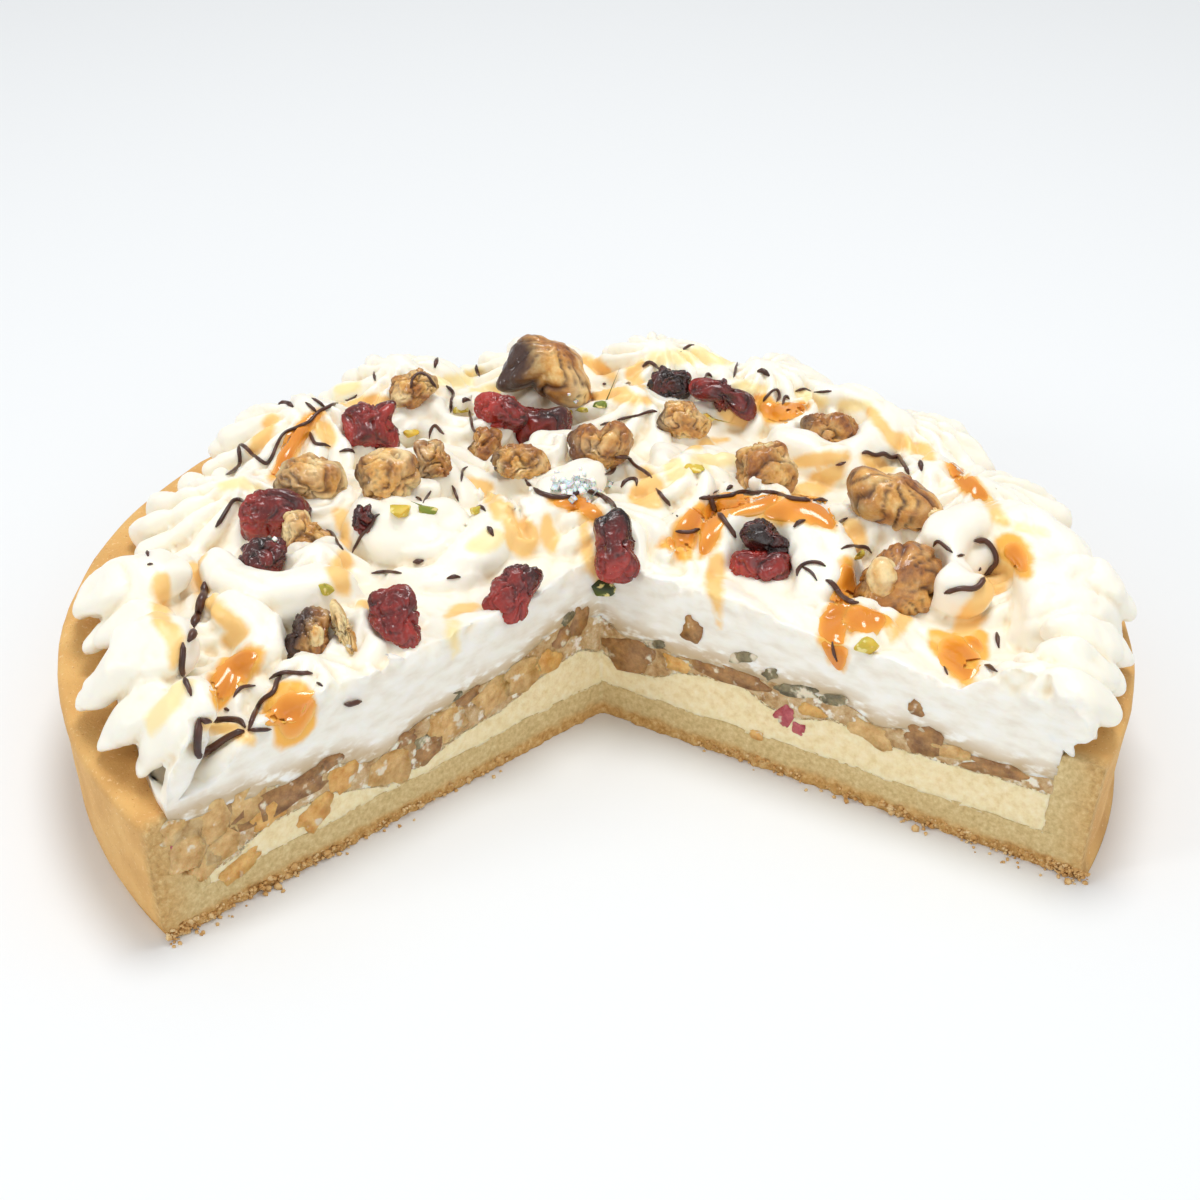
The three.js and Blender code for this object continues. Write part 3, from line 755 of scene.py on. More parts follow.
# %% Swirl tables
BORDER_SWIRLS = rows_of("""
    334 110 15 48 11 0.4; 355 108 19 51 14 0.3; 17 107 25 56 16 0.5; 38 108 25 56 15 0.7; 62 107 25 60 13 0.8; 80
    107 26 62 12 1; 101 107 25 61 13 0.7; 122 108 25 63 12 0.9; 143 108 25 61 13 0.8; 164 107 24 56 12 0.9; 185 107
    22 53 10 0.8; 206 105 20 52 9 0.7; 219 107 16 48 10 0.5""")
INNER_SWIRLS = rows_of("""
    82 15 20 60 8 1.2; 62 46 22 60 8 1.3; 139 62 22 61 8 1.1; 82 80 22 60 9 1.2; 13 76 20 57 8 1.2; 183 77 18 57 7
    0.9; 206 68 18 55 7 0.8; 24 100 16 57 7 1; 217 86 16 52 6 0.7; 332 118 16 56 8 0.3; 150 28 15 58 7 1.1; 70 98 15
    58 7 0.8; 340 72 15 52 7 0.6""")
ROSETTES = rows_of("""
    104 50 23 61 120 1.7; 116 82 21 60 30 1.6; 160 78 22 59 250 1.6; 36 52 18 58 10 1.5; 128 100 16 58 80 1.4; 52 96
    18 58 200 1.5; 173 44 17 59 300 1.5; 195 100 17 56 90 1.5; 222 70 15 52 20 1.3; 0 20 14 53 160 1.3""")
PETALS = rows_of("""
    -136 -6 39 -110 -19 53 23 12 -2; -131 -26 39 -110 -35 51 15 9 1; -128 -50 40 -103 -56 55 24 14 3; -121 -65 38
    -102 -69 50 16 10 1; -110 -77 39 -93 -73 54 19 11 2; -103 -86 37 -91 -82 50 14 9 -2; 138 -10 40 119 -14 53 16 11
    2; 133 -20 40 116 -24 51 13 9 2; 134 -30 39 114 -37 50 14 9 2; 129 -44 40 110 -47 50 14 10 2; 125 -55 39 107 -58
    49 13 9 2; 119 -61 38 106 -62 46 10 7 1; 113 -66 36 104 -66 43 8 6 1""")
FOLDS = [points_of(row, 4) for row in rows_of("""
    107 -34 45 7 114 -22 48 11 116 -5 49 13 108 6 50 13 95 4 52 11 87 -8 51 9 91 -18 50 7 98 -14 51 4; 49 -18 44 6
    57 -8 47 9 56 7 50 9 44 14 51 8 33 9 50 7 29 -3 46 5; -28 27 50 6 -28 13 49 8 -33 1 48 8 -43 -8 47 7 -57 -7 45
    6; -44 24 57 3 -54 24 52 8 -58 15 50 11 -48 10 49 12 -39 19 50 9; 55 70 50 6 55 57 49 7 65 51 48 7 76 57 49 7 81
    69 52 6 73 81 54 5 61 80 54 4; 30 9 44 4 23 13 48 7 16 13 46 6 10 8 43 4; 0 38 55 5 -9 27 52 8 -15 14 50 8 -11 8
    46 6; -33 31 56 5 -24 27 52 8 -22 12 50 8 -27 6 46 6; -97 -28 52 5 -88 -34 52 7 -84 -42 50 7 -90 -50 48 6; -102
    -7 54 5 -87 -23 52 8 -72 -20 50 8 -62 -14 49 6""")]
print("swirls:", len(BORDER_SWIRLS) + len(INNER_SWIRLS), "rosettes:", len(ROSETTES), "petals:", len(PETALS))
BORDER_BASE = 36.0
INNER_BASE = 40.0
STAR_SECTION = rounded([(0, 0), (0.5, 0), (0.86, 0.0), (0.97, 0.08), (1.0, 0.2), (0.94, 0.36), (0.8, 0.53),
                        (0.62, 0.68), (0.44, 0.8), (0.28, 0.88), (0.14, 0.95), (0, 1.0)], 3)
VERTS_PER_LOBE = 12


def star(row, base, seed):
    """One piped star: lobes with sharp creases between them, twisted up to a peak."""
    degrees, out, radius, top, lobes, twist = row
    lobes = int(lobes)
    dice = random.Random(seed)
    reach = [dice.uniform(0.86, 1.14) for _ in range(lobes)]
    droop = [dice.uniform(-0.08, 0.1) for _ in range(lobes)]
    lean = Vector((dice.uniform(-1, 1), dice.uniform(-1, 1), 0)) * 4
    centre = polar(degrees, out, base)
    bm = spun([(r * radius, h * (top - base)) for r, h in STAR_SECTION], lobes * VERTS_PER_LOBE)
    for v in bm.verts:
        distance = v.co.to_2d().length / radius
        angle = math.atan2(v.co.y, v.co.x) % (2 * math.pi)
        place = angle / (2 * math.pi) * lobes
        part = place % 1.0
        part += 0.09 * math.sin(2 * math.pi * part)
        lobe = 0.65 * abs(math.sin(math.pi * part)) + 0.35 * (1 - abs(2 * part - 1))
        index = int(place) % lobes
        width = 1 + 0.4 * ramp(distance, 0, 0.9) * (lobe * reach[index] - 0.65)
        lift = 1 - 0.2 * (1 - lobe) * ramp(distance, 0.02, 0.35) + droop[index] * lobe * distance
        height = v.co.z / (top - base)
        turned = math.degrees(angle + twist * (1 - distance)) + degrees + 90
        v.co = centre + polar(turned, distance * radius * width, v.co.z * lift) + lean * height ** 2
    return bm


# %% [markdown]
# Where the nozzle moved on while the cream still flowed, a fold ends in a drooping point over the rim.
# Rosettes and curls are ropes: we extrude one lobed section along a path and turn it as it goes.

# %% Folds with a point, ropes and rosettes
def petal(row):
    """One fold that runs down and out from its root to a point."""
    tip, root = Vector(row[:3]), Vector(row[3:6])
    width, height, bend = row[6:]
    run = tip - root
    aside = Vector((run.y, -run.x, 0.0)).normalized()
    bm = bmesh.new()
    bmesh.ops.create_uvsphere(bm, u_segments=36, v_segments=36, radius=1.0)
    for v in bm.verts:
        p = v.co.copy()
        share = (p.z + 1) / 2
        blunt = max(1e-3, 1 - p.z * p.z) ** -0.12
        thin = (1.1 - 0.32 * ramp(share, 0.45, 1.0)) * blunt
        crest = 1 + 0.35 * (1 - min(1, abs(p.x) * 1.7)) if p.y > 0 else 1
        middle = root + run * mix(-0.2, 1.0, share) + aside * bend * math.sin(math.pi * share)
        middle.z += 0.13 * run.length * math.sin(math.pi * share)
        v.co = middle + aside * p.x * thin * width / 2 + Vector((0, 0, p.y * thin * crest * height / 2))
    return bm


def rope(stations, ridges, depth):
    """A ridged rope through stations of (middle, its side, its upper side, size, roll)."""
    bm = bmesh.new()
    last = bmesh.ops.create_circle(bm, cap_ends=True, segments=ridges * 8, radius=1.0)["verts"]
    shape = []
    for v in last:
        lobe = abs(math.sin(ridges / 2 * math.atan2(v.co.y, v.co.x)))
        shape.append(v.co.to_2d() * (1 - depth * (1 - lobe)))
    face = bm.faces[:]
    for step, (middle, sideways, upwards, size, roll) in enumerate(stations):
        if step:
            made = bmesh.ops.extrude_face_region(bm, geom=face)["geom"]
            bmesh.ops.delete(bm, geom=face, context="FACES_ONLY")
            face = [g for g in made if isinstance(g, bmesh.types.BMFace)]
            last = [g for g in made if isinstance(g, bmesh.types.BMVert)]
            last.sort(key=lambda v: order[v.co.to_tuple(4)])
        for v, flat in zip(last, shape):
            turned = Matrix.Rotation(roll, 2) @ flat
            v.co = middle + (sideways * turned.x + upwards * turned.y) * size
        order = {v.co.to_tuple(4): i for i, v in enumerate(last)}
    bmesh.ops.recalc_face_normals(bm, faces=bm.faces[:])
    return bm


def rosette(row, steps=56):
    """A rope laid in a spiral that rises to a peak."""
    degrees, out, radius, top, start, turns = row
    thick = radius * 0.4
    centre = polar(degrees, out)
    stations = []
    for step in range(steps + 1):
        t = step / steps
        angle = start + 360 * turns * t
        size = thick * mix(1.0, 0.22, ramp(t, 0.5, 1.0)) * mix(0.3, 1, ramp(t, 0, 0.08))
        height = mix(top - 1.7 * thick, top - size, t ** 1.6)
        middle = centre + polar(angle, (radius - thick) * (1 - t) ** 0.8, height)
        stations.append((middle, polar(angle, 1.0), UP, size, 4.0 * t))
    return rope(stations, 7, 0.22)


def fold(points, each=7):
    """A smooth rope through (x, y, z, radius) points, with rounded ends."""
    line = rounded(points, each)
    stations = []
    for i, (x, y, z, radius) in enumerate(line):
        ahead, behind = line[min(i + 1, len(line) - 1)], line[max(i - 1, 0)]
        run = Vector((ahead[0] - behind[0], ahead[1] - behind[1], 0.0)).normalized()
        end = min(i, len(line) - 1 - i) / 4
        size = radius * math.sqrt(clamp(1 - (1 - min(end, 1.0)) ** 2, 0.05, 1.0))
        stations.append((Vector((x, y, z)), Vector((run.y, -run.x, 0.0)), UP, size, 0.3 * i / each))
    return rope(stations, 5, 0.1)


# %% [markdown]
# The swirls are joined by a voxel remesh, which fuses overlapping bodies and rounds their meeting
# creases as soft cream does. Below them lies a plain slab down to the fruit. Then the toppings press
# their seats into the cream, and the knife cuts it. Last, a Decimate modifier thins the mesh a little,
# because soft cream looks the same with fewer triangles.

# %% Toppings' places: x, y and 16 radii of the outline that the camera sees, counter-clockwise from the right
WALNUTS = [(x, y, radii) for x, y, *radii in rows_of("""
    -54.1 79.4 7.4 6.8 5.6 5.9 5.5 4.6 5.2 6.5 7.1 7.8 8.3 6.2 5.9 5.2 4.8 5.9; -15.3 93.3 10.8 10.3 9.3 9 9.2 11.2
    12.7 12.6 13.3 15.7 7.2 7.4 8.4 11.4 14.9 14.2; -77.9 21.3 10.6 9.8 7.8 7 7.1 7.5 7.9 8.6 9.5 9.3 6 5.1 5.1 6
    8.8 11.3; -57.9 30.1 8.4 8.6 9 8.6 8.2 7.9 8.3 8.8 8.4 7.9 8.4 7.7 7.5 7.9 7.9 7.9; -45.1 31.1 4.2 3.8 3.9 5.7 6
    6.2 7 5.5 5.1 5.5 7.2 6 5.1 4.5 4.7 5; -32.1 42.8 5.2 5.7 7.3 6.2 5.7 6.1 4.8 4.5 4.7 4.5 6.6 6.3 6.3 6.8 7.3
    5.7; -22.8 35.9 9.1 7.7 6 5.2 4.9 5.6 6.2 7.3 7.7 6.6 5.7 5 5.1 5.4 6.6 8.7; -0.3 44.3 8.6 9.3 9.3 8 4.7 6.6 8.1
    9.2 8.7 8.6 5.9 6 7.4 7.2 6.6 7.8; 24.6 71 7.6 4.9 4.8 5 5.2 6.2 8.1 7.1 7.6 6.8 5.9 6.2 5.8 6.1 7.2 7.4; 44.3
    30.7 9.2 7.3 7.7 7.7 7.3 8 8.1 8.4 7.5 8.3 9.5 6.6 6.8 7.3 9.5 9.5; 64.3 57.9 8.2 8.1 7.8 6.8 5.8 5.9 6.9 8.3
    8.2 9.3 7.8 5.9 5.2 5.7 6.9 8.3; 76.7 12 12.8 9.4 8.2 8 7.4 8.8 13.1 13.2 11.1 10.3 7.8 7.2 8.6 8.1 11.5 14.1;
    73.2 -27.5 11.4 12.2 13 12 10.7 9.7 9 9.3 10.3 12.6 14.6 11.6 9.7 9.4 10.7 11; -76.8 -3.4 7.1 4.8 4.9 4.8 7 7.5
    8.4 6.3 5.9 6.3 6.8 5.3 4.9 5.3 6.7 8.1; -73.4 -38.5 5.9 6.3 8.1 7.4 6.6 5.4 4.3 3.8 5 5.9 8.1 8.2 7.6 8.2 8.2
    6.3; -63.6 -40.6 1.7 1.6 1.8 2.4 4.2 7.8 4.8 3.2 2.7 2.3 2.3 2.7 4.1 7.7 4 2.2""")]
BERRIES = [(x, y, radii) for x, y, *radii in rows_of("""
    -65.1 66.4 7.4 6.3 9.6 7.3 6.9 7.2 7.4 8.6 8 8.2 9.6 7.3 6.9 7.3 9.6 8.4; -28.4 64.1 7.5 6.7 6 5.1 4.8 5.7 7.4
    7.4 7.2 6.4 7.4 5.7 5.3 5.7 7.4 8.1; -16.4 47 8.6 9.8 10.2 7.5 7.1 7.7 10.2 9.8 9.1 9.8 10 7.9 7.3 7.7 9.7 9.8;
    20.5 79.7 6.4 6.8 5.5 4.2 4.2 5.5 5.5 6.4 6.4 6.8 7.2 5.4 4.9 5.5 5.9 6.8; 36.4 84 8.4 5.1 3.1 3.2 4.4 5.4 7.8
    11 10.3 4.5 3.8 4 3.8 4.3 10.8 10.3; -90.3 21.1 11.6 10.5 8.4 6.8 6 5.8 6.1 6.2 6.7 7.3 8.6 8.8 7.7 7.9 8.8
    10.5; -86.9 -9.9 4.2 6 7.9 7.3 6.8 7.3 6.7 5.9 5.6 6 6.8 7.2 6.3 4.9 4.6 4.5; 3.7 -6 4 4.1 5 7.3 9.1 8 8.5 6.3
    5.8 6.4 8.5 9.8 9.1 9.8 8.5 4.6; 39.6 -16.7 8.2 7.3 3.9 3 2.8 3.3 4.8 7.5 8 7.7 6.9 6.4 6.5 6.9 7.6 8.4; 42.1
    -3.4 5.2 3.2 3.2 3.8 4.4 5.2 5.9 6.4 6.4 6.3 6 5.8 5.8 6.6 7.1 7.1; -51.4 -37 5.9 6.1 7.6 8.7 8.5 8 8.5 7.4 6.3
    5.7 5.9 6.9 7.6 9.2 8.6 6.5; -21.9 -26.5 4.7 6.6 7.5 6.7 6.5 6.7 5.7 6.5 6.6 8.6 7.9 8.5 7.9 6.1 4.7 4.6; -63.3
    12.9 3.1 3.2 2.9 4.5 3.7 3.6 3.3 3.1 3.1 3.2 3.7 3.8 4.2 4.5 3.3 2.8""")]
print("walnuts:", len(WALNUTS), "berries:", len(BERRIES))
DEPTH_SHARE = 0.72
SUNK_SHARE = 0.95
KEPT_IN = 1.5


def inside_tart(co):
    """How far a point lies inside the tart from the nearer cut."""
    return max(co.dot(polar(CUT_RIGHT + 90, 1.0)), co.dot(polar(CUT_LEFT - 90, 1.0)))


def seat(tree, node, row):
    """Middle, length, width and height of a topping, slid along the line of sight until it lies on the cream."""
    x, y, radii = row
    up = sum(radii[i] for i in (3, 4, 5, 11, 12, 13)) / 6
    low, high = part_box(node)
    away = (Vector((x, y, (low.z + high.z) / 2 / MM)) - SIGHT).normalized()
    depth = sum(radii) / len(radii) * DEPTH_SHARE
    middle = tree.ray_cast(SIGHT, away)[0] - away * depth * SUNK_SHARE
    while inside_tart(middle) < KEPT_IN:
        middle += away * 0.5
    return middle, radii[0] + radii[8], 1.6 * up, 1.8 * up


# %% Seats for the toppings
def press_seats(mesh, seats):
    """Moves the cream under and round each topping to where the topping lies."""
    tree = finder([(v.co.x, v.co.y, 0.0) for v in mesh.vertices])
    for middle, length, width, height in seats.values():
        floor = middle.z - height * 0.22
        for near, index, _ in tree.find_range((middle.x, middle.y, 0.0), 0.7 * max(length, width)):
            v = mesh.vertices[index]
            aside = math.hypot((near.x - middle.x) / length, (near.y - middle.y) / width) * 2
            pull = 1 - ramp(aside, 0.75, 1.3)
            if pull > 0 and v.co.z > INNER_BASE:
                wanted = floor if v.co.z > floor else min(floor, v.co.z + 6)
                v.co.z = mix(v.co.z, wanted, pull * (0.95 if v.co.z > floor else 0.6))


# %% Crisper folds, and how deep each crease is
CREAM_GRAIN = 0.9
SLAB_TOP = 39.0
FOLD_DEPTH = 2.6
MOST_TRIANGLES = 194000


def sharpened(bm, rounds, gain):
    """Makes folds crisper: each vertex moves away from the smoothed surface, and shallow creases are added."""
    bm.normal_update()
    before = [v.co.copy() for v in bm.verts]
    soften(bm, rounds)
    for v, co in zip(bm.verts, before):
        share = ramp(co.z, 39, 43)
        warp = noise.noise_vector(co / 20) * 0.9
        folds = abs(noise.noise(co / 16 + warp)) + 0.25 * abs(noise.noise(co / 8 + warp * 2))
        v.co = co + ((co - v.co) * gain + v.normal * (folds - 0.25) * FOLD_DEPTH) * share


def crease_depth(obj, rounds, reach):
    """How far each vertex lies below the smoothed surface, as a number from 0 to 1, stored as hollow, which the
    cream's material paints as shade in the creases.
    """
    bm = bmesh.new()
    bm.from_mesh(obj.data)
    bm.normal_update()
    before = [(v.co.copy(), v.normal.copy()) for v in bm.verts]
    soften(bm, rounds)
    depth = [clamp((v.co - co).dot(normal) / reach) for v, (co, normal) in zip(bm.verts, before)]
    bm.free()
    store(obj, "hollow", depth)


# %% Join, seat, cut and thin the cream
def make_cream():
    parts = [star(row, BORDER_BASE, 100 + i) for i, row in enumerate(BORDER_SWIRLS)]
    parts += [star(row, INNER_BASE, 200 + i) for i, row in enumerate(INNER_SWIRLS)]
    parts += [rosette(row) for row in ROSETTES] + [petal(row) for row in PETALS] + [fold(row) for row in FOLDS]
    parts.append(spun(rounded([(0, 37), (60, 37), (118, 36.5), (124, 37.5), (122, 40), (110, 43), (70, 47),
                               (30, 48), (0, 48)], 6), 120))
    whole = gather(parts)
    for v in whole.verts:
        sway = noise.noise_vector(v.co / 19.0) * 1.8 + noise.noise_vector(v.co / 8.0 + Vector((7, 0, 0))) * 0.7
        v.co += sway * ramp(v.co.z, 38, 46)
    cream = as_object(whole, "sour_cream")
    fuse = cream.modifiers.new("fuse", "REMESH")
    fuse.mode = "VOXEL"
    fuse.voxel_size = CREAM_GRAIN
    apply_modifiers(cream)
    tree = BVHTree.FromPolygons([v.co for v in cream.data.vertices], [p.vertices for p in cream.data.polygons])
    rows = [(f"walnut_{i:02d}", row) for i, row in enumerate(WALNUTS, 1)]
    rows += [(f"dried_berry_{i:02d}", row) for i, row in enumerate(BERRIES, 1)]
    seats = {node: seat(tree, node, row) for node, row in rows}
    press_seats(cream.data, seats)
    slab = make_layer("slab", above(fruit_top), lambda co: SLAB_TOP)
    boolean(cream, slab, "UNION")
    bm = bmesh.new()
    bm.from_mesh(cream.data)
    soften(bm, factor=0.4, verts=[v for v in bm.verts if v.co.z > INNER_BASE])
    sharpened(bm, 6, 0.7)
    bm.to_mesh(cream.data)
    bm.free()
    boolean(cream, knife(smeared, 1.0), "DIFFERENCE")
    # How deep each crease lies, which the material turns into painted shade.
    crease_depth(cream, 10, 1.1)
    paint(cream, "cut", lambda co: on_cut(co, 1.8))
    paint(cream, "near_fruit", lambda co: 1 - ramp(co.z - fruit_top(co), 0.5, 7.0))
    streak = cream.data.attributes.new("streak", "FLOAT_VECTOR", "POINT")
    for v in cream.data.vertices:
        streak.data[v.index].vector = (v.co.xy.length / 7, v.co.z / 3.4, 0.0)
    thin = cream.modifiers.new("thin", "DECIMATE")
    thin.ratio = MOST_TRIANGLES / sum(len(p.vertices) - 2 for p in cream.data.polygons)
    apply_modifiers(cream)
    cream.data.validate()
    return cream, seats


cream, seats = make_cream()
settle(cream, CREAM_LOOK, ["cream"])

# %% [markdown]
# ## Toppings
# Every walnut and berry has its own outline, so one function makes a ball, gives it the outline that
# the camera sees and asks another function for its relief. A walnut kernel is folded like a brain:
# where a warped noise crosses zero, it draws wandering lines, and those are the creases. Kernels that
# lie with the veined skin up have creases that fan out from one point instead.

# %% A body with a given outline
def ring(radii, angle):
    """A smooth closed line through evenly spaced radii, at an angle."""
    place = angle / (2 * math.pi) % 1 * len(radii)
    return smooth_between(*(radii[(int(place) + k) % len(radii)] for k in (-1, 0, 1, 2)), place % 1)


def lying(middle, radii, relief, subdivisions=5):
    """A ball in the shape of the outline. relief(p) gives mm outwards and the numbers to paint there."""
    depth = sum(radii) / len(radii) * DEPTH_SHARE
    bm = bmesh.new()
    bmesh.ops.create_icosphere(bm, subdivisions=subdivisions, radius=1.0)
    layers = {name: bm.verts.layers.float.new(name) for name in relief(UP)[1]}
    for v in bm.verts:
        p = v.co.copy()
        flat = max(p.xy.length, 1e-4)
        rise, painted = relief(p)
        for name, value in painted.items():
            v[layers[name]] = clamp(value)
        out = ring(radii, math.atan2(p.y, p.x)) * flat ** 0.8 + rise * flat
        v.co = middle + (SEEN_RIGHT * p.x + SEEN_UP * p.y) / flat * out + SEEN_NEAR * p.z * (depth + rise)
    return bm


def line_at_zero(value, half):
    """1 where the value is zero, and 0 where it is more than a few halves away."""
    return math.exp(-(value / half) ** 2)


# %% Walnuts: skin, pale, dark, and the point that the creases of a fan start from
KERNELS = [
    (0.45, 0.3, -1.0, None), (0.5, 0.3, -0.35, (0.35, 0.95)), (0.3, 0.5, -1.0, None), (0.35, 0.4, -1.0, None),
    (0.6, 0.3, -0.6, None), (0.65, 0.1, -0.9, None), (0.3, 0.55, -1.0, None), (0.6, 0.3, -0.9, None),
    (0.35, 0.45, -1.0, None), (0.3, 0.45, -1.0, None), (0.65, 0.25, -0.9, None), (0.35, 0.0, -1.0, (0.2, 1.05)),
    (0.8, -0.35, -1.0, (-0.25, -0.1)), (0.35, 0.5, -1.0, None), (1.0, -0.1, 0.2, None), (0.1, 0.9, -1.0, None),
]
# Small bits on a kernel: which one, right, up, half width and half height in pixels of the photograph, and pale
MM_PER_PIXEL = 0.245
BITS = rows_of("""
    13 -19 8 17 22 0.9; 2 -64 -38 11 9 0.9; 15 12 2 8 12 1; 12 42 -14 9 7 0.8""")


def kernel(seed, skin, pale, dark, apex, calm=1.0):
    """The relief of a walnut kernel."""
    seed = Vector((seed * 3.1, seed * 1.7, seed * 0.9))

    def relief(p):
        warp = noise.noise_vector(p * 1.1 + seed) * 0.5
        if apex:
            turn = math.atan2(p.y - apex[1], p.x - apex[0]) + 0.3 * noise.noise(p * 1.6 + seed)
            away = clamp(math.hypot(p.y - apex[1], p.x - apex[0]) * 1.6 - 0.2)
            ray = 11 * turn + 0.9 * noise.noise(p * 3 - seed)
            deep = line_at_zero(math.sin(ray / 2), 0.28) * away
            fine = line_at_zero(math.sin(ray), 0.4) * away
            vein = line_at_zero(math.sin(ray), 0.3) * away
        else:
            deep = line_at_zero(noise.noise(p * 1.8 + warp + seed), 0.06)
            fine = line_at_zero(noise.noise(p * 3.9 + warp * 2 - seed), 0.09)
            vein = line_at_zero(noise.noise(p * 2.6 - seed), 0.025) * 0.6
        lumpy, ridges = (0.5, 0.65) if apex else (1.5, 1.0)
        lumps = lumpy * noise.noise(p * 1.6 - seed) + 0.4 * noise.noise(p * 4.5 + seed) + 0.2 * noise.noise(p * 10)
        # fold sets how much the material darkens a crease: darker skin plus painted shade.
        return (lumps - (1.6 * deep + 0.5 * fine) * ridges) * calm, {
            "fold": (0.9 * deep + 0.35 * fine) * calm * ridges, "vein": vein * calm,
            "skin": skin + 1.3 * noise.noise(p * 1.5 - seed),
            "pale": pale - 0.35 + 1.4 * noise.noise(p * 1.4 + seed * 3),
            "dark": dark + 0.45 - p.x + 0.9 * noise.noise(p * 1.3 + seed)}

    return relief


def make_walnut(number, row):
    middle = seats[f"walnut_{number:02d}"][0]
    parts = [lying(middle, row[2], kernel(number, *KERNELS[number - 1]))]
    for owner, right, up, wide, high, pale in BITS:
        if owner == number:
            near = SEEN_NEAR * sum(row[2]) / 16 * DEPTH_SHARE * 0.72
            place = middle + (SEEN_RIGHT * right + SEEN_UP * up) * MM_PER_PIXEL + near
            radii = [MM_PER_PIXEL / math.hypot(math.cos(a) / wide, math.sin(a) / high)
                     for a in (math.pi * i / 8 for i in range(16))]
            parts.append(lying(place, radii, kernel(number + 40, -0.3, pale, -1.0, None, 0.25), 4))
    nut = as_object(gather(parts), f"walnut_kernel_{number:02d}")
    return settle(nut, WALNUT_LOOK, [f"walnut_{number:02d}"])


for number, row in enumerate(WALNUTS, 1):
    make_walnut(number, row)

# %% [markdown]
# A dried cranberry is a sack that has shrunk: large soft dents, and wrinkles that meet in narrow
# creases. Some are nearly black, and some have a red glow painted at one end, as light through the
# berry; the table says how dark each is, how that grows to the right and up, and how strong that painted
# glow is. The deep creases are painted a little darker as well, which is painted shade.

# %% Dried berries: dark, its growth to the right and up, bright (the strength of the painted glow)
SHRUNK = rows_of("""
    0 0.1 0.1 0.2; -0.1 0.3 0 0.6; 0.35 0 0 0; 0.9 0 0 -0.5; 0.4 0.2 0 0; 0.15 0.3 0.3 0.3; 0.4 0 0.5 0.3; 0.3 0.1
    0.5 0.2; 0 0.1 0.2 0.4; 0.95 0 0 -0.5; 0.15 -0.1 0.1 0.3; 0.2 0.1 0.5 0.3; 0.6 0 0.2 0""")


def shrunk(seed, dark, right, up, bright):
    """The relief of a dried berry."""
    seed = Vector((seed * 2.3, -seed * 1.1, seed * 4.1))

    def relief(p):
        warp = noise.noise_vector(p * 0.9 + seed) * 0.6
        deep = line_at_zero(noise.noise(p * 1.5 + warp - seed), 0.07)
        fine = line_at_zero(noise.noise(p * 3.3 + warp * 2 + seed), 0.09)
        dents = 1.6 * noise.noise(p * 1.2 + seed) + 0.5 * noise.noise(p * 3.0 - seed) + 0.2 * noise.noise(p * 8)
        # dark gains painted shade along the deep creases, and bright is the painted glow.
        return dents - 1.3 * deep - 0.6 * fine, {
            "dark": dark - 0.05 + right * p.x + up * p.y + 0.6 * noise.noise(p * 1.5 + seed) + 0.35 * deep,
            "bright": bright - right * p.x - up * p.y + 1.2 * noise.noise(p * 1.3 - seed)}

    return relief


for number, (_, _, radii) in enumerate(BERRIES, 1):
    node = f"dried_berry_{number:02d}"
    berry = lying(seats[node][0], radii, shrunk(number, *SHRUNK[number - 1]))
    settle(as_object(berry, f"berry_{number:02d}"), BERRY_LOOK, [node])

# %% [markdown]
# ## Caramel, chocolate and pistachio
# Caramel was poured in ribbons that soak into the cream at their edges, and melted chocolate was
# drizzled in thin zigzags. Both must lie exactly on the lumpy cream. We could paint them, but caramel
# stands proud and shines, so each ribbon is a grid and each stroke a thin rope, both cast onto the
# cream. The tables give x and y on a level plane through the cream, and each point then moves along
# the line of sight until it meets the cream, so that the ribbons land where the photograph has them.

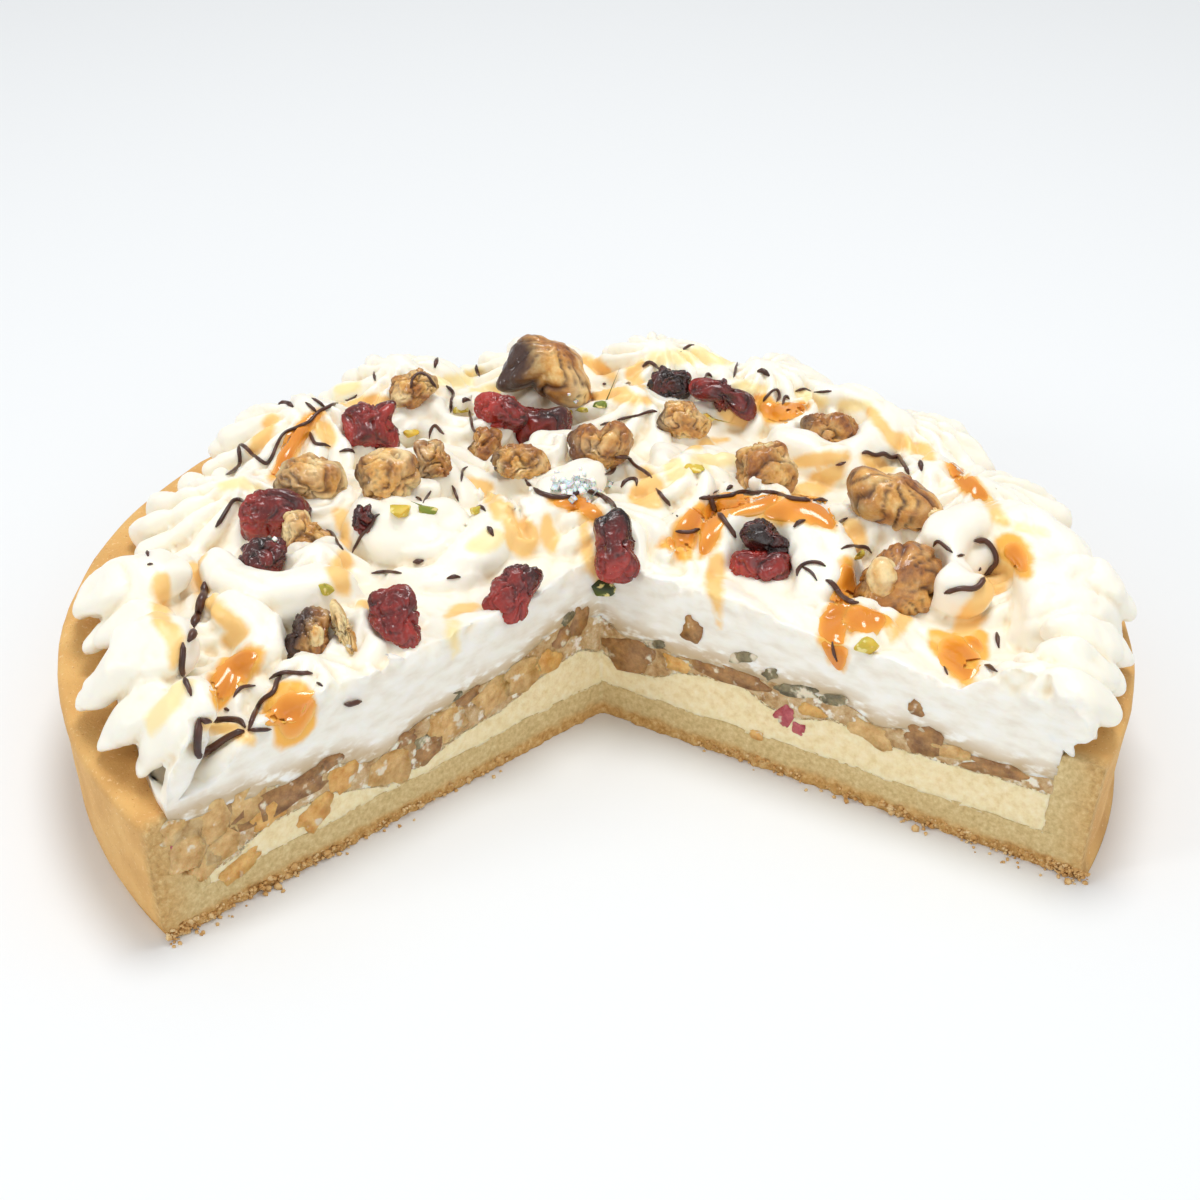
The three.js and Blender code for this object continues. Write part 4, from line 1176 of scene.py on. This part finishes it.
# %% Tables of ribbons and strokes
# Ribbons: kind (0 a faint stain, 1 a rich one, 2 thick enough to stand proud), then x, y and half width of each point
CARAMEL = [(kind, points_of(rest, 3)) for kind, *rest in rows_of("""
    2 -84 -46 2 -87.5 -51 4.5 -90 -58.5 4.5 -91.5 -66.5 2; 2 -76 -62.5 3.5 -74 -69 6.5 -72.5 -75.5 5.5 -74 -81.5
    2.5; 1 -112.5 -14.5 2.2 -111 -23 2.6 -110.5 -29.5 2.6 -107 -36.5 2.6 -104.5 -43 2 -103.5 -51.5 1.2; 1 -104.5 -4
    2.6 -104 -10.5 2.2 -98.5 -25 2.6 -93.5 -32 2.6 -89.5 -39 3 -92 -41.5 2; 0 -100 -60 2.5 -103 -67 3.2 -105 -74.5
    3; 1 -92.5 -76 1.6 -88 -77 2 -83.5 -80 2.2 -81 -82.5 1.2; 2 -81 76.5 1.5 -85.5 66 3 -87.5 56.5 3.2 -88.5 47 2.5
    -90.5 38.5 1.2; 1 -94 71.5 2 -96.5 62 3.2 -97.5 54.5 2; 1 -79.5 66 3 -77.5 60 3; 1 -74.5 81 1.5 -68.5 83 2.2 -63
    82 2.2 -60.5 79.5 1; 1 -35.5 36.5 1.6 -31.5 32 2.4 -28.5 24.5 2.6 -27.5 18.5 1.6; 1 -25.5 24 1.5 -24 16 2.6
    -21.5 7.5 5.2 -21 2 3; 0 -33.5 2 2.5 -30 6 3.4 -27.5 9 2; 2 -13.5 26 1.8 -8.5 25 2.6 -4.5 23.5 2.8 -1.5 18.5 2.4
    -0.5 14.5 1; 1 -14.5 16 1.8 -14 8.5 2.6 -13 1 1.2; 1 -5 13.5 1.6 -4 3.5 2.2 -3 -5 2 -1 -13.5 1.2; 1 -70 19.5 2
    -68.5 11 2.4 -67.5 3.5 1.2; 1 -67 -4 2.6 -67.5 -10.5 3.2 -65.5 -17.5 2; 1 -61 -24 2 -59 -26.5 2; 1 -38 -30 1.6
    -35.5 -27 2.6 -32.5 -25.5 1.8; 0 -37.5 -33 1.8 -37 -40 1.6 -36 -47.5 1; 2 39.5 29 1.6 33.5 25.5 3.2 30 17.5 3.8
    28 7 3.2 26 -2 1; 2 27 22.5 2 24 16 3 21.5 8 3.6 21 -0.5 2.6; 2 19.5 6 1.5 17 3.5 2.4; 2 32.5 22.5 2.5 38.5 23.5
    3.4 43.5 24.5 3 48.5 29 1.4; 2 43 19.5 2 49.5 21 4.2 55 22 4.8 59 19 4 61.5 11 1.2; 1 52.5 27 3 57.5 33.5 3.8
    63.5 40.5 2.8 66.5 45 1.4; 1 55 47 1.6 61.5 49 2.4 69 51 1.5; 1 65.5 15.5 2 67 9 3.4 66.5 2.5 2.6; 2 63.5 -4.5 2
    62.5 -14.5 2.6 60.5 -22.5 3.2 58 -31 3.6 56 -39.5 3.6 56.5 -47 2.8 56.5 -54.5 0.8; 2 59 -28 3.5 64.5 -32 4 71
    -30.5 2; 1 75.5 -30 2.4 73 -35.5 2 70.5 -40.5 0.9; 1 30 -5 2.4 28.5 -13.5 2.6 28.5 -23 1.6 28.5 -34.5 0.8; 2 106
    5 3 108 -1 4.2 109 -10.5 1.8; 1 105 -7.5 3.2 100 -15.5 3.8 95 -23.5 3.4 91.5 -32 3.2 88 -40 3.6; 2 83 -39 3.2 85
    -44 5.5 86.5 -51 5 86.5 -59.5 1.2; 2 92 -39 3 89.5 -46 4.2; 2 97 47.5 1.2 100 39 2.8 102 33 3 105.5 27.5 1.4; 1
    105.5 27 2 106 19.5 2.2 108 14.5 1; 0 111 12.5 1.4 115 11.5 1.6 118 9 1; 1 -4.5 108.5 2 0 106 2.8 4 99 1.8; 1
    12.5 109 1.5 10 101 2.6 12.5 92.5 1.5; 1 -2.5 85.5 2 3.5 89.5 3 9 85.5 2.4 14.5 84 1.2; 0 17 111.5 2.4 24.5 112
    2.8 32.5 112.5 2.8 40.5 109 1.6; 2 47.5 84.5 2.5 50.5 77 4 55.5 78 3.2 61 82 1.2; 0 59 89 1.6 63 84.5 2.4 66
    83.5 1.4; 0 40.5 94 1.5 44.5 92 2 49 92 1.4; 1 35 82.5 2 38.5 76.5 3.2 41 71 1.8; 1 25 55.5 1.2 30.5 58.5 2.2
    35.5 60.5 1.2; 0 19.5 47.5 2.4 21 40.5 3.4; 0 27.5 47 3 35 51 3.2 40.5 48.5 2; 1 78 78.5 1.4 81 71 2.4 82.5 64
    1.6; 1 81.5 66.5 1.8 84 60 3 88 61 1.6; 1 88 57 2 90.5 53.5 3 92.5 50 1.6; 1 74 50 1.8 77 46 3 80.5 43.5 1.6; 1
    11.5 43 2 13.5 35 3.6 12 27.5 4.4 15 25 1.8; 0 -103.5 33.5 1.6 -99 35.5 2 -94 32.5 1.4; 0 -78 90.5 1.6 -75 92 2
    -71.5 93.5 1; 0 -47.5 97 1.6 -41.5 96 2.2 -36 102 1.6; 0 -36 90.5 2.4 -31 88.5 3; 0 72 81.5 2 78 80.5 1.4""")]
# Strokes: width, then x and y of each point
DRIZZLE = [(width, points_of(rest, 2)) for width, *rest in rows_of("""
    2.6 -101.5 -14.5 -100.5 -18.5 -100.5 -24.5 -101 -31 -101.5 -37.5 -102 -43; 2 -103 -42 -102.5 -47.5 -102 -53 -100
    -58 -98 -62.5 -97.5 -65; 2.4 -94.5 -73 -94.5 -78 -93.5 -83.5 -92.5 -88 -90.5 -86 -88 -82 -85.5 -79.5 -82.5 -78;
    1.9 -94.5 -73 -92 -74.5 -88.5 -74.5 -85.5 -74 -82.5 -78; 1.4 -82.5 -78 -79.5 -77.5 -76.5 -77.5; 1.6 -82.5 -78
    -81.5 -72 -80.5 -66 -78 -63 -78 -58 -77 -54.5; 1.4 -80 -57.5 -77 -54.5 -73.5 -55.5 -69.5 -55; 1.3 -87.5 -65
    -86.5 -61 -84.5 -60.5 -82.5 -60; 1.8 -89 -69.5 -87.5 -70.5; 1.8 -119 1.5 -117.5 -4; 1.2 -117.5 -6.5 -115.5 -6;
    1.6 -102.5 12 -101.5 16 -100.5 22 -99.5 26 -97.5 26.5 -95.5 24; 1.4 -103.5 40 -101 42.5 -100.5 47 -101.5 54
    -101.5 57 -99.5 55 -96.5 50 -93 46 -92 51 -91.5 58 -90 64.5 -87 66.5 -83.5 71 -82 76 -79.5 79 -74.5 84; 2 -94 81
    -91.5 81.5 -88.5 78.5; 1.4 -86 82.5 -84 79 -81.5 75.5; 1.2 -84.5 85 -82 82 -79.5 79; 1.4 -83 64.5 -81.5 60 -80.5
    57 -78 57 -75.5 55.5; 1.4 -73.5 53 -71 54 -68.5 51.5; 1.2 -74.5 84 -72.5 84.5 -71 88.5; 1.3 -67.5 102 -66.5 95;
    1.8 -49.5 104.5 -49 111 -46.5 113 -42.5 112.5 -40 113; 1.3 -37 114.5 -37 106.5 -35.5 98; 1.4 -45.5 93 -43.5 89
    -43 84 -43.5 75; 1.8 -40 82.5 -39.5 85 -37.5 83.5; 1.2 -48.5 59.5 -48.5 64.5 -47.5 68.5 -46 66 -44 62.5; 1.3 -38
    78 -37 70.5 -36 65 -34.5 65; 1.3 -38.5 36.5 -38.5 43 -36.5 45; 1.3 -56 91.5 -55.5 98 -53.5 101.5 -50.5 97.5 -48
    90.5; 1.8 -21 37.5 -18.5 33 -17 30 -12.5 27.5 -8.5 28.5 -5 31.5 -2 30 0.5 27 4.5 22; 1.2 -46.5 31.5 -47.5 27.5
    -48.5 24; 1.4 -50.5 28 -48 25; 1.1 -41 34.5 -39.5 29.5 -38.5 24.5; 1.4 -33.5 23 -32 22 -31 20; 2 -30.5 12.5
    -29.5 10 -28.5 7; 1.8 -49 -5 -47.5 -4.5 -46 -4; 1.3 -59.5 -10.5 -56 -10 -51 -10.5; 1.6 -40 -13 -38 -12 -36
    -12.5; 1.2 -59.5 19 -61 17 -61.5 12.5 -63.5 7.5 -65.5 -2; 1.2 -73 11 -71 9 -69.5 3.5 -67 0; 1.6 -61.5 -67.5 -60
    -67.5 -58.5 -66.5 -57 -66.5; 1.7 -68.5 -59 -66.5 -61; 1.5 4 50.5 7 50.5 9.5 45.5 12.5 42 14.5 37.5; 1.6 1 40.5 3
    42 4.5 45.5; 1.7 5.5 33.5 7.5 37.5 10 37.5 9.5 33; 1.5 15 33 17 27 19 22.5; 1.4 19 19.5 21 17.5; 1.2 0 69 5.5
    72.5 10 74 14 77 17.5 77; 1.2 25 115.5 27.5 119.5 30 120.5; 1.3 42 109.5 41.5 105 40 98; 2.2 47.5 102.5 49.5
    102.5 51.5 98.5; 1.3 48 83.5 50.5 89 52.5 91.5 53 87 51.5 82; 1.3 53.5 81.5 55 87.5 56 83.5; 1.2 58 90 61 91.5
    63.5 89.5 66.5 89.5 69.5 90.5; 1.5 13 105.5 15.5 109 17 106 19 103; 1.3 31.5 98.5 33 101 34 98; 1.6 8 94.5 9.5
    95; 1.6 1 94.5 2.5 94.5; 2 29 29.5 30 23 32 18 34 11.5 35.5 5.5; 1.6 26.5 27.5 31 28 35 28.5 39 31 43.5 30.5
    47.5 30.5 50 28 54 26.5 62 26.5; 1.3 30.5 30.5 32.5 32.5; 2.2 34.5 32 36.5 35; 1.4 19.5 10.5 23.5 10 27 12.5;
    1.6 51 12.5 53 15.5 55 16.5; 1.4 62.5 13 64.5 16 66.5 18; 1.6 50 -11.5 51 -7.5 53.5 -5 56.5 -5.5 58 -7.5; 1.4
    51.5 -7 54 -10.5 55 -15; 1.8 57 -13.5 58.5 -15.5 60 -20.5 62.5 -24.5 65 -23.5; 1.2 62.5 1.5 65 3 67.5 2.5 69.5
    2.5 70.5 -1.5; 1.2 56 -41.5 56 -46.5 56.5 -51; 1.8 73.5 52.5 75 53.5 77 51 79.5 53 81 50.5 84 51 85 45.5 85.5
    39; 2 89.5 48.5 89 42; 1.2 65.5 46 69 48; 1.2 87 3 88.5 6 90 3.5 92 -1.5; 1.6 92.5 -2 95 -1; 1.4 97 -9 98 -6.5;
    2 98 6 101 6 102.5 1.5 102.5 -4.5 99.5 -8.5 97 -14 94.5 -17.5 91 -17 86 -20; 1.8 97 -37.5 96.5 -41.5 96.5 -45;
    1.5 92 -51.5 93.5 -53 95 -54.5; 1 82 -52 82.5 -57""")]
# Pistachio chips: x, y, size, and tone from yellow to dark green
PISTACHIO = rows_of("""
    -40.5 76 5.5 0.3; -4.5 75.5 5 0.4; 0 79.5 4.5 0.9; -54 19 6.5 0.25; -46.5 19.5 6 0.75; -33.5 20 4 0.35; -70.5
    -19.5 5 0.45; 26 43 5.5 0.2; 31 71.5 4.5 0; 66 -2 5 0.35; 64 -45 6.5 0.3; -54 62.5 5 0.1; 0 -19 8 1; -8 75 3.5
    0.1""")

print("ribbons:", len(CARAMEL), "strokes:", len(DRIZZLE), "chips:", len(PISTACHIO))

# %% Cast points onto the finished pieces
POUR_LEVEL = 52.0
LEVEL_PER_SEEN = 1.83


def shell(pieces):
    """A search tree of finished pieces, in mm round the tart's axis."""
    points, faces = [], []
    for piece in pieces:
        first = len(points)
        points += [v.co / MM - AXIS for v in piece.data.vertices]
        faces += [[first + i for i in face.vertices] for face in piece.data.polygons]
    return BVHTree.FromPolygons(points, faces)


def landed(tree, x, y):
    """Where the line of sight through (x, y) on the level plane meets the tree, and the normal there."""
    place, normal = tree.ray_cast(SIGHT, Vector((x, y, POUR_LEVEL)) - SIGHT)[:2]
    if place is not None and normal.dot(SIGHT - place) < 0:
        normal = -normal
    return place, normal


# %% Caramel
CARAMEL_PROUD = 0.7
LONGEST_EDGE = 3.0


def ribbon(tree, kind, points):
    """A bulging strip on the cream. Returns the mesh and its middle line."""
    seen = rounded([(x, y / LEVEL_PER_SEEN, half) for x, y, half in points], 6)
    lengths = [0.0]
    for a, b in zip(seen, seen[1:]):
        lengths.append(lengths[-1] + math.dist(a[:2], b[:2]))
    total = lengths[-1]
    lines = [list(zip(lengths, column)) for column in zip(*seen)]
    bm = bmesh.new()
    bmesh.ops.create_grid(bm, x_segments=max(6, round(total / 0.8)), y_segments=12, size=0.5)
    depth = bm.verts.layers.float.new("depth")
    missed = []
    for v in bm.verts:
        t, s = (v.co.x + 0.5) * total, v.co.y * 2
        x, y, half = (along(line, t) for line in lines)
        x1, y1, x0, y0 = (along(line, t + step) for step in (0.4, -0.4) for line in lines[:2])
        run = Vector((x1 - x0, y1 - y0)).normalized()
        ends = math.sqrt(clamp(1 - (1 - clamp(min(t, total - t) / half)) ** 2))
        half *= (0.25 + 0.75 * ends) * (1 + 0.35 * rough((x, y, s), 3.5, 6))
        place, normal = landed(tree, x - run.y * s * half, (y + run.x * s * half) * LEVEL_PER_SEEN)
        if place is None:
            missed.append(v)
            continue
        swell = math.sqrt(clamp(1 - s * s)) * ends
        v[depth] = (0.15 + 0.85 * swell) * (1 + 0.25 * rough(place, 6.0, 2))
        v.co = place + normal * (CARAMEL_PROUD * swell - 0.35 * (1 - swell))
    middles = [(*landed(tree, x, y * LEVEL_PER_SEEN), half) for x, y, half in seen]
    middles = [(place, half, kind) for place, _, half in middles if place is not None]
    bmesh.ops.delete(bm, geom=missed, context="VERTS")
    torn = [e for e in bm.edges if e.calc_length() > LONGEST_EDGE]
    bmesh.ops.delete(bm, geom=torn, context="EDGES")
    bmesh.ops.delete(bm, geom=[v for v in bm.verts if not v.link_faces], context="VERTS")
    soften(bm, 4, verts=[v for v in bm.verts if not v.is_boundary])
    bmesh.ops.recalc_face_normals(bm, faces=bm.faces[:])
    faces = bm.faces[:]
    if faces and sum(f.normal.dot(SIGHT - f.calc_center_median()) for f in faces) < 0:
        bmesh.ops.reverse_faces(bm, faces=faces)
    return bm, middles


def stain(cream, lines):
    """Stores how far inside the caramel's soaked edge each point of the cream lies."""
    tree = finder([v.co / MM - AXIS for v in cream.data.vertices])
    sauce = [-9.0] * len(cream.data.vertices)
    rich = [0.0] * len(cream.data.vertices)
    for place, half, kind in lines:
        for _, index, distance in tree.find_range(place, half + 4):
            if half + 0.6 - distance > sauce[index]:
                sauce[index] = half + 0.6 - distance
                rich[index] = 0.55 * kind
    store(cream, "sauce", sauce)
    store(cream, "rich", rich)


def make_caramel(cream):
    tree = shell([cream])
    made = [ribbon(tree, kind, points) for kind, points in CARAMEL]
    stain(cream, [point for _, line in made for point in line])
    whole = gather([bm for (bm, _), (kind, _) in zip(made, CARAMEL) if kind == 2])
    return settle(as_object(whole, "caramel"), CARAMEL_LOOK)


caramel_piece = make_caramel(cream)


# %% Chocolate drizzle
def stroke(tree, width, points):
    """Thin ropes of chocolate through points cast onto the tart; a stroke breaks where it would hang."""
    landings, runs = [], [[]]
    for (x0, y0), (x1, y1) in zip(rounded(points, 3), rounded(points, 3)[1:]):
        steps = max(1, round(math.hypot(x1 - x0, (y1 - y0) / LEVEL_PER_SEEN) / 0.7))
        landings += [landed(tree, mix(x0, x1, i / steps), mix(y0, y1, i / steps)) for i in range(steps)]
    for place, normal in landings:
        if place is None or (runs[-1] and (place - runs[-1][-1][0]).length > 12):
            runs.append([])
        if place is not None:
            runs[-1].append((place, normal))
    ropes = []
    for run in runs:
        if len(run) < 3:
            continue
        for _ in range(2):
            run = [run[0]] + [((a[0] + b[0] * 2 + c[0]) / 4, (a[1] + b[1] + c[1]).normalized())
                              for a, b, c in zip(run, run[1:], run[2:])] + [run[-1]]
        stations = []
        for i, (place, normal) in enumerate(run):
            ahead = (run[min(i + 1, len(run) - 1)][0] - run[max(i - 1, 0)][0]).normalized()
            side = ahead.cross(normal).normalized()
            end = clamp(min(i, len(run) - 1 - i) / 2)
            size = width * 0.38 * (0.35 + 0.65 * end) * (1 + 0.3 * rough(place, 6.0, 9))
            stations.append((place + normal * size * 0.7, side, side.cross(ahead), size, 0.0))
        ropes.append(rope(stations, 1, 0.0))
    return ropes


def make_drizzle(under):
    tree = shell(under)
    whole = gather([part for width, points in DRIZZLE for part in stroke(tree, width, points)])
    return settle(as_object(whole, "chocolate_drizzle"), CHOCOLATE_LOOK)


on_top = [obj for obj in bpy.data.objects if obj.name.startswith(("walnut_kernel", "berry_"))]
make_drizzle([cream, caramel_piece, *on_top])


# %% Pistachio chips
CHIP_CORNERS = 11


def make_pistachio(cream):
    tree = shell([cream])
    dice = random.Random(5)
    parts = []
    for x, y, size, tone in PISTACHIO:
        place = landed(tree, x, y)[0]
        bm = bmesh.new()
        for _ in range(CHIP_CORNERS):
            p = Vector([dice.gauss(0, 1) for _ in range(3)]).normalized()
            bm.verts.new(Vector((p.x * 0.56, p.y * 0.42, p.z * 0.36)) * size)
        bmesh.ops.convex_hull(bm, input=bm.verts[:])
        ease_edges(bm, 0.25, 2)
        layer = bm.verts.layers.float.new("tone")
        for v in bm.verts:
            v[layer] = clamp(tone + 0.25 * rough(v.co, 2.0, x))
            v.co += place + UP * size * 0.2
        parts.append(bm)
    return settle(as_object(gather(parts), "pistachio_chips"), PISTACHIO_LOOK)


make_pistachio(cream)

# %% Sugar crystals
def make_sugar(under):
    """Clear crystals of sugar between the nuts in the middle, and single grains."""
    tree = shell(under)
    dice = random.Random(8)
    places = [(dice.gauss(-7, 3.4), dice.gauss(33, 4.0), dice.uniform(0.8, 1.9)) for _ in range(46)]
    places += [(-86, 6, 1.1), (-7, 84, 1.0), (-9, 88, 0.8)]
    parts = []
    for x, y, size in places:
        place, normal = landed(tree, x, y)
        if place is None:
            continue
        bm = bmesh.new()
        bmesh.ops.create_cube(bm, size=size)
        turn = Euler([dice.uniform(0, 3) for _ in range(3)]).to_matrix()
        for v in bm.verts:
            v.co = place + normal * size * 0.3 + turn @ v.co
        ease_edges(bm, size * 0.14, 1)
        parts.append(bm)
    return settle(as_object(gather(parts), "sugar_crystals"), SUGAR_LOOK)


make_sugar([cream, caramel_piece, *on_top])

# %% [markdown]
# ## Crumbs
# The knife left crumbs of the toasted bottom along both cuts, most of them at the outer corners.
# A few hundred small lumps of a few dozen faces each do that.


# %% Crumbs
def make_crumbs():
    dice = random.Random(11)
    parts = []
    for cut, turn, count in ((CUT_RIGHT, -90, 330), (CUT_LEFT, 90, 300)):
        out, front = polar(cut, 1.0), polar(cut + turn, 1.0)
        for _ in range(count):
            r = dice.choice((dice.uniform(30, 137), dice.uniform(85, 138), dice.gauss(134, 3)))
            size = dice.uniform(0.25, 0.6) * (1 + 0.8 * (dice.random() < 0.12))
            loose = dice.random() < 0.09
            ahead = abs(dice.gauss(0, 1.5)) + 0.5 if loose else dice.uniform(-0.5, 0.5)
            z = size * 0.5 if loose else dice.uniform(0.2, 3.4)
            bm = bmesh.new()
            bmesh.ops.create_icosphere(bm, subdivisions=1, radius=size)
            for v in bm.verts:
                v.co *= 1 + 0.4 * dice.uniform(-1, 1)
                v.co.z *= 0.8
                v.co += out * min(r, 139) + front * ahead + UP * z
            parts.append(bm)
    return settle(as_object(gather(parts), "crumbs"), CRUMB_LOOK)


make_crumbs()

# %% [markdown]
# ## Floor, light and camera
# A pale seamless floor and large soft lights, as in a bright product photograph. The camera stands
# where the photographer's stood: about half a metre in front and 35 cm up, looking down 33 degrees.

# %% Floor
def make_floor():
    bm = bmesh.new()
    bmesh.ops.create_grid(bm, x_segments=1, y_segments=1, size=6.0)
    floor = as_object(bm, "floor")
    floor.data.materials.append(finish_of("pale floor", "#ECEFF1", roughness=0.6))


make_floor()


# %% Lights and world
TART_MIDDLE = Vector((0, 0, 0.03))
LIGHTS = [("overhead softbox", (0.05, 0.15, 1.2), 0.5, 7), ("left softbox", (-1.1, -0.5, 0.6), 0.35, 2.8),
          ("front fill", (0.6, -1.2, 0.5), 1.0, 2.6)]
for name, place, size, watts in LIGHTS:
    data = bpy.data.lights.new(name, "AREA")
    data.shape = "DISK"
    data.size = size
    data.energy = watts
    light = bpy.data.objects.new(name, data)
    light.location = place
    light.rotation_euler = (TART_MIDDLE - light.location).to_track_quat("-Z", "Y").to_euler()
    bpy.context.scene.collection.objects.link(light)

world = bpy.data.worlds.new("bright studio")
world.use_nodes = True
sky = world.node_tree.nodes["Background"]
sky.inputs["Color"].default_value = linear("#FEFEFE")
sky.inputs["Strength"].default_value = 0.62
bpy.context.scene.world = world
bpy.context.scene.view_settings.view_transform = "Standard"
print("lights:", len(LIGHTS))

# %% Camera
camera_data = bpy.data.cameras.new("camera")
camera_data.sensor_width = 36.0
camera_data.lens = 65.34
camera_data.clip_start = 0.01
camera = bpy.data.objects.new("camera", camera_data)
camera.location = CAMERA_PLACE * MM
camera.rotation_mode = "QUATERNION"
camera.rotation_quaternion = CAMERA_TURN
bpy.context.scene.collection.objects.link(camera)
bpy.context.scene.camera = camera
print("camera at", [round(c, 3) for c in camera.location])
